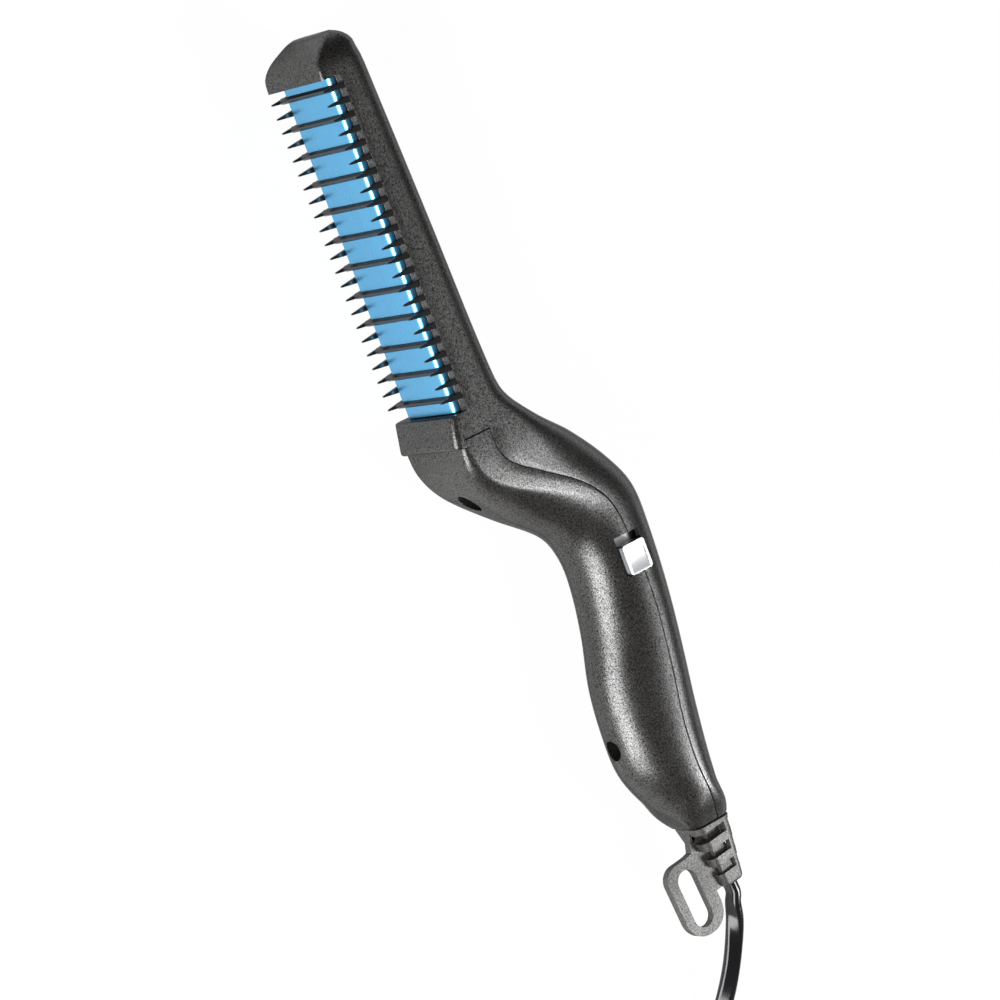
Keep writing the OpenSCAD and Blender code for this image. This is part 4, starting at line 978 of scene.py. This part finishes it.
# Its pins: their spacing, and (x from the plug's face, radius) along a pin and its sleeve
PIN_GAP = 18.3
PIN = ((-1, 1.9), (17, 1.9), (18, 1.7), (18.65, 1.15), (18.95, 0.3))
PIN_SLEEVE = ((-0.5, 2.0), (9.6, 2.0), (9.9, 1.93))


def bundle_point(s, sizes):
    """The wound store: loops spiral in on the lower layer and out on the upper one."""
    pitch = mm(sizes.thickness + sizes.loop_gap)
    d = abs(s - TURNS / 2)
    inwards = TURNS / 2 - d
    r = mm(sizes.bundle_radius) - pitch * (inwards + CLIMB_IN * (1 - ease(d, CLIMB, 1)))
    z = FLOOR_Z + TIE_T + 0.1 + mm(sizes.width) / 2
    z += mm(sizes.width + sizes.loop_gap) * ease(s, TURNS / 2 - CLIMB, TURNS / 2 + CLIMB)
    a = JOIN_ANGLE + 2 * math.pi * s
    return BUNDLE_MID + Vector((r * math.cos(a), r * math.sin(a), z))


def lead_route(sizes):
    """The whole lead as points with their roll: free stretch, bundle and run to the plug."""
    width = mm(sizes.width)
    join = bundle_point(0, sizes) - JOIN_DIR * width
    # It starts 4 mm inside the strain relief
    free = [(*(EXIT + EXIT_DIR * k), 0) for k in (-4, 2.5)]
    free += [(END_X + x, y, z, roll) for x, y, z, roll in FREE_POINTS]
    free += [(*(join - JOIN_DIR * k), 0) for k in (4, 0)]
    route = smooth(free, 6)[:-1]
    route += [Vector((*(bundle_point(0, sizes) - JOIN_DIR * width * k), 0)) for k in (1, 0.5)]
    count = round(TURNS * 40)
    route += [Vector((*bundle_point(TURNS * i / count, sizes), 0)) for i in range(count + 1)]
    leave = bundle_point(TURNS, sizes) + LEAVE_DIR * width
    route += [Vector((*(leave - LEAVE_DIR * width * 0.5), 0))]
    drop = leave.z - PLUG_Z
    for u in steps(0, 1.08, 20):
        point = leave + LEAVE_DIR * PLUG_RUN * u
        point.z -= drop * ease(u, 0.1, 0.85)
        route.append(Vector((*point, 0)))
    return route


def twin_ring(route, i, sizes):
    """Section of the flat twin lead: two lobes side by side."""
    sides = 24
    here = route[i].to_3d()
    ahead = (route[min(i + 1, len(route) - 1)] - route[max(i - 1, 0)]).to_3d().normalized()
    level = ahead.cross(Vector((0, 0, 1))).normalized()
    up = level.cross(ahead)
    roll = Matrix.Rotation(math.radians(route[i].w), 3, ahead)
    level, up = roll @ level, roll @ up
    r = mm(sizes.thickness) / 2
    lobe = mm(sizes.width - sizes.thickness) / 2
    ring = []
    for k in range(sides):
        t = 2 * math.pi * (k + 0.5) / sides
        # The groove between the cores pulls the flat sides in a little
        side, high = math.sin(t), math.cos(t)
        pinch = 1 - 0.14 * max(0.0, 1 - abs(high) * 2.2)
        ring.append(here + level * (r * side * pinch) + up * (r * high + math.copysign(lobe, high)))
    return ring


def stadium(x, half_w, half_h, radius):
    """Rounded section of the plug at x, wide across Y."""
    radius = min(radius, half_w, half_h)
    return [(x, y, z) for y, z in rounded(half_w, half_h, radius, 8)]


def plug_moulding():
    """Flat two-pin plug with shoulders, finger grips and a ribbed sleeve."""
    sections = []
    for x in steps(9, PLUG_LEN - PLUG_EDGE, 44):
        half_w = mix(NECK_W, PLUG_W / 2, ease(x, 8, 24))
        half_h = mix(NECK_H, PLUG_H / 2, ease(x, 8, 20))
        wave = math.cos((x - 31) * 2 * math.pi / GRIP_PITCH)
        grip_in = GRIP_DEPTH * max(0.0, wave) if GRIPS_X[0] < x < GRIPS_X[1] else 0.0
        sections.append(stadium(x, half_w - grip_in, half_h, half_h - 0.4))
    sections += [stadium(PLUG_LEN - a, PLUG_W / 2 - b, PLUG_H / 2 - b, 6)
                 for a, b in quarter(PLUG_EDGE, 5)[1:]]
    bm = loft(sections)
    sleeve = []
    for x in steps(0, 11, 66):
        swell = RIB_DEPTH * (0.5 + 0.5 * math.cos(2 * math.pi * x / RIB_PITCH))
        sleeve.append(stadium(x, 2.5 + 0.12 * x + swell * 0.4, 3.6 + 0.1 * x + swell, 2.4))
    add(bm, loft(sleeve))
    return bm


def turned_bar(profile, y):
    """A round bar at y, through (x from the plug's face, radius)."""
    around = steps(0, 2 * math.pi, 28)[:-1]
    return loft([[(PLUG_LEN + x, y + r * math.cos(t), r * math.sin(t)) for t in around]
                 for x, r in profile])


def tie_strap(sizes):
    """The strap round both layers of the bundle with its clasp, drawn across the bundle."""
    pitch, half_t = mm(sizes.thickness + sizes.loop_gap), mm(sizes.thickness) / 2
    inner = mm(sizes.bundle_radius) - pitch * (TURNS / 2 + CLIMB_IN) - half_t - TIE_GAP
    # Half a turn in, where the tie sits, the outermost loop has come in by half a pitch
    outer = mm(sizes.bundle_radius) - pitch / 2 + half_t + TIE_GAP
    low = FLOOR_Z + TIE_T + 0.1
    high = low + mm(sizes.width * 2 + sizes.loop_gap)
    strap = box((inner - TIE_T, -TIE_HALF, low - TIE_T - 0.1),
                (outer + TIE_T, TIE_HALF, high + TIE_T + 0.1))
    soften(strap, 0.7, 4, 60)
    strap = boolean(strap, box((inner, -5, low - 0.1), (outer, 5, high + 0.1)))
    add(strap, soften(box((outer - 9, -3.4, high - 0.4), (outer - 2, 3.4, high + TIE_T + 0.1)),
                      0.3, 3))
    return strap


class COMB_OT_lead(bpy.types.Operator):
    """Mains lead with its stored bundle, tie and plug"""
    bl_idname = "comb.lead"
    bl_label = "Mains lead"

    def execute(self, context):
        sizes = context.scene.comb_lead
        route = lead_route(sizes)
        tube = loft([twin_ring(route, i, sizes) for i in range(len(route))])
        lead = piece("mains_lead", tube, "lead",
                     replaces=["cord", "cord_coil", "cord_plug_end"], sharp=60)
        finish_nodes({"cord_tail": "lead", "live_core": "brown", "neutral_core": "blue",
                      "wire_connector": "crimp"})

        turn = Matrix.Translation(BUNDLE_MID) @ Matrix.Rotation(TIE_ANGLE, 4, "Z")
        tie = piece("lead_tie", tie_strap(sizes), "tie",
                    replaces=["cord_tie"], place=turn)

        start = bundle_point(TURNS, sizes) + LEAVE_DIR * (mm(sizes.width) + PLUG_RUN)
        start.z = PLUG_Z
        plug_frame = Matrix.Translation(start) @ Matrix.Rotation(LEAVE_ANGLE + math.pi / 2, 4, "Z")
        plug = piece("plug_moulding", plug_moulding(), "plug",
                     replaces=["plug_body"], place=plug_frame)
        metal, sleeves = bmesh.new(), bmesh.new()
        for side in (1, -1):
            add(metal, turned_bar(PIN, side * PIN_GAP / 2))
            add(sleeves, turned_bar(PIN_SLEEVE, side * PIN_GAP / 2))
        pins = piece("plug_contacts", metal, "pins",
                     replaces=["plug_pins"], place=plug_frame)
        guards = piece("pin_sleeves", sleeves, "pin_sleeve",
                       place=plug_frame)
        return {"FINISHED"}


# ---- Stage ----

# The photo's camera, solved from the rows of teeth and the handle's outline: its right, its
# up and its back, and its place
CAMERA_AXES = ((0.34875, 0.767, 0.53859), (-0.92101, 0.38687, 0.04543),
               (-0.17352, -0.5119, 0.84134))
CAMERA_PLACE = (-0.189387, -0.568012, 0.9289)
# Name, direction from the comb, size in metres and power in watts
LAMPS = (
    ("key", (0.14, -0.93, 0.32), (0.72, 0.58), 24),
    ("side", (0.53, 0.55, 0.69), (0.28, 0.28), 10.8),
    ("top", (0.02, 0.55, 0.84), (0.5, 0.3), 0.62),
)
LAMP_DISTANCE = 0.9
AIM = Vector((0, 0, 0.015))
WORLD_GREY = 0.1
PAPER_GREY = 0.8
# How much of the paper is plain white to the camera, and in mirrors and clear pieces
SEEN_WHITE, MIRRORED_WHITE = 0.96, 0.5


def softbox(name, towards, size, power):
    """A rectangular lamp that looks at the comb from a direction."""
    lamp = bpy.data.lights.new(name, "AREA")
    lamp.shape = "RECTANGLE"
    lamp.size, lamp.size_y = size
    lamp.energy = power
    obj = bpy.data.objects.new(name, lamp)
    bpy.context.scene.collection.objects.link(obj)
    towards = Vector(towards).normalized()
    obj.location = AIM + towards * LAMP_DISTANCE
    obj.rotation_euler = towards.to_track_quat("Z", "Y").to_euler()


class COMB_OT_stage(bpy.types.Operator):
    """Plain pale floor, soft studio light and the camera"""
    bl_idname = "comb.stage"
    bl_label = "Stage"

    def execute(self, context):
        scene = context.scene
        scene.view_settings.view_transform = "Standard"
        camera = bpy.data.cameras.new("camera")
        camera.lens, camera.sensor_width = 144, 36
        camera.clip_start, camera.clip_end = 0.05, 20
        view = bpy.data.objects.new("camera", camera)
        place = Matrix(CAMERA_AXES).transposed().to_4x4()
        place.translation = CAMERA_PLACE
        view.matrix_world = place
        scene.collection.objects.link(view)
        scene.camera = view

        world = bpy.data.worlds.new("studio")
        scene.world = world
        world.use_nodes = True
        sky = world.node_tree.nodes["Background"].inputs["Color"]
        sky.default_value = (WORLD_GREY, WORLD_GREY, WORLD_GREY, 1)
        for lamp in LAMPS:
            softbox(*lamp)

        # Matt paper that is the same all over. The camera sees it almost white, with the
        # comb's shadow faint on it, and mirrors see half plain white, half the lit paper
        paper = bpy.data.materials.new("White_paper")
        paper.use_nodes = True
        paper.node_tree.nodes.clear()
        path = add_node(paper, "LightPath")
        bent = add_node(paper, "Math", {0: path.outputs["Is Glossy Ray"],
                                        1: path.outputs["Is Transmission Ray"]},
                        operation="MAXIMUM")
        bent = add_node(paper, "Math", {0: bent.outputs[0], 1: MIRRORED_WHITE},
                        operation="MULTIPLY")
        straight = add_node(paper, "Math", {0: path.outputs["Is Camera Ray"], 1: SEEN_WHITE},
                            operation="MULTIPLY")
        share = add_node(paper, "Math", {0: bent.outputs[0], 1: straight.outputs[0]},
                         operation="MAXIMUM")
        matt = add_node(paper, "BsdfDiffuse", {
            "Color": (PAPER_GREY, PAPER_GREY, PAPER_GREY, 1)})
        light = add_node(paper, "Emission", {"Color": (1, 1, 1, 1), "Strength": 1.0})
        both = add_node(paper, "MixShader", {0: share.outputs[0], 1: matt.outputs[0],
                                             2: light.outputs[0]})
        add_node(paper, "OutputMaterial", {"Surface": both.outputs[0]})
        bm = bmesh.new()
        bmesh.ops.create_grid(bm, x_segments=1, y_segments=1, size=4.0)
        mesh = bpy.data.meshes.new("floor")
        bm.to_mesh(mesh)
        bm.free()
        mesh.materials.append(paper)
        floor = bpy.data.objects.new("floor", mesh)
        scene.collection.objects.link(floor)
        return {"FINISHED"}


OPERATORS = (COMB_OT_stage, COMB_OT_lead, COMB_OT_housing, COMB_OT_comb, COMB_OT_heater,
             COMB_OT_switch, COMB_OT_relief)


class COMB_PT_panel(bpy.types.Panel):
    """The comb's sizes, finishes and pieces"""
    bl_idname = "COMB_PT_panel"
    bl_label = "Beard comb"
    bl_space_type = "VIEW_3D"
    bl_region_type = "UI"
    bl_category = "Beard comb"

    def draw(self, context):
        for group in GROUPS:
            sizes = getattr(context.scene, group)
            column = self.layout.column(align=True)
            for name in sizes.bl_rna.properties.keys():
                if name not in ("rna_type", "name"):
                    column.prop(sizes, name)
        for operator in OPERATORS:
            self.layout.operator(operator.bl_idname)


CLASSES = (*GROUPS.values(), *OPERATORS, COMB_PT_panel)


def register():
    for kind in CLASSES:
        bpy.utils.register_class(kind)
    for name, group in GROUPS.items():
        setattr(bpy.types.Scene, name, PointerProperty(type=group))


def unregister():
    for name in GROUPS:
        delattr(bpy.types.Scene, name)
    for kind in reversed(CLASSES):
        bpy.utils.unregister_class(kind)


def main():
    register()
    bpy.ops.comb.stage()
    bpy.ops.comb.lead()
    bpy.ops.comb.housing()
    bpy.ops.comb.comb()
    bpy.ops.comb.heater()
    bpy.ops.comb.switch()
    bpy.ops.comb.relief()


if __name__ == "__main__":
    main()
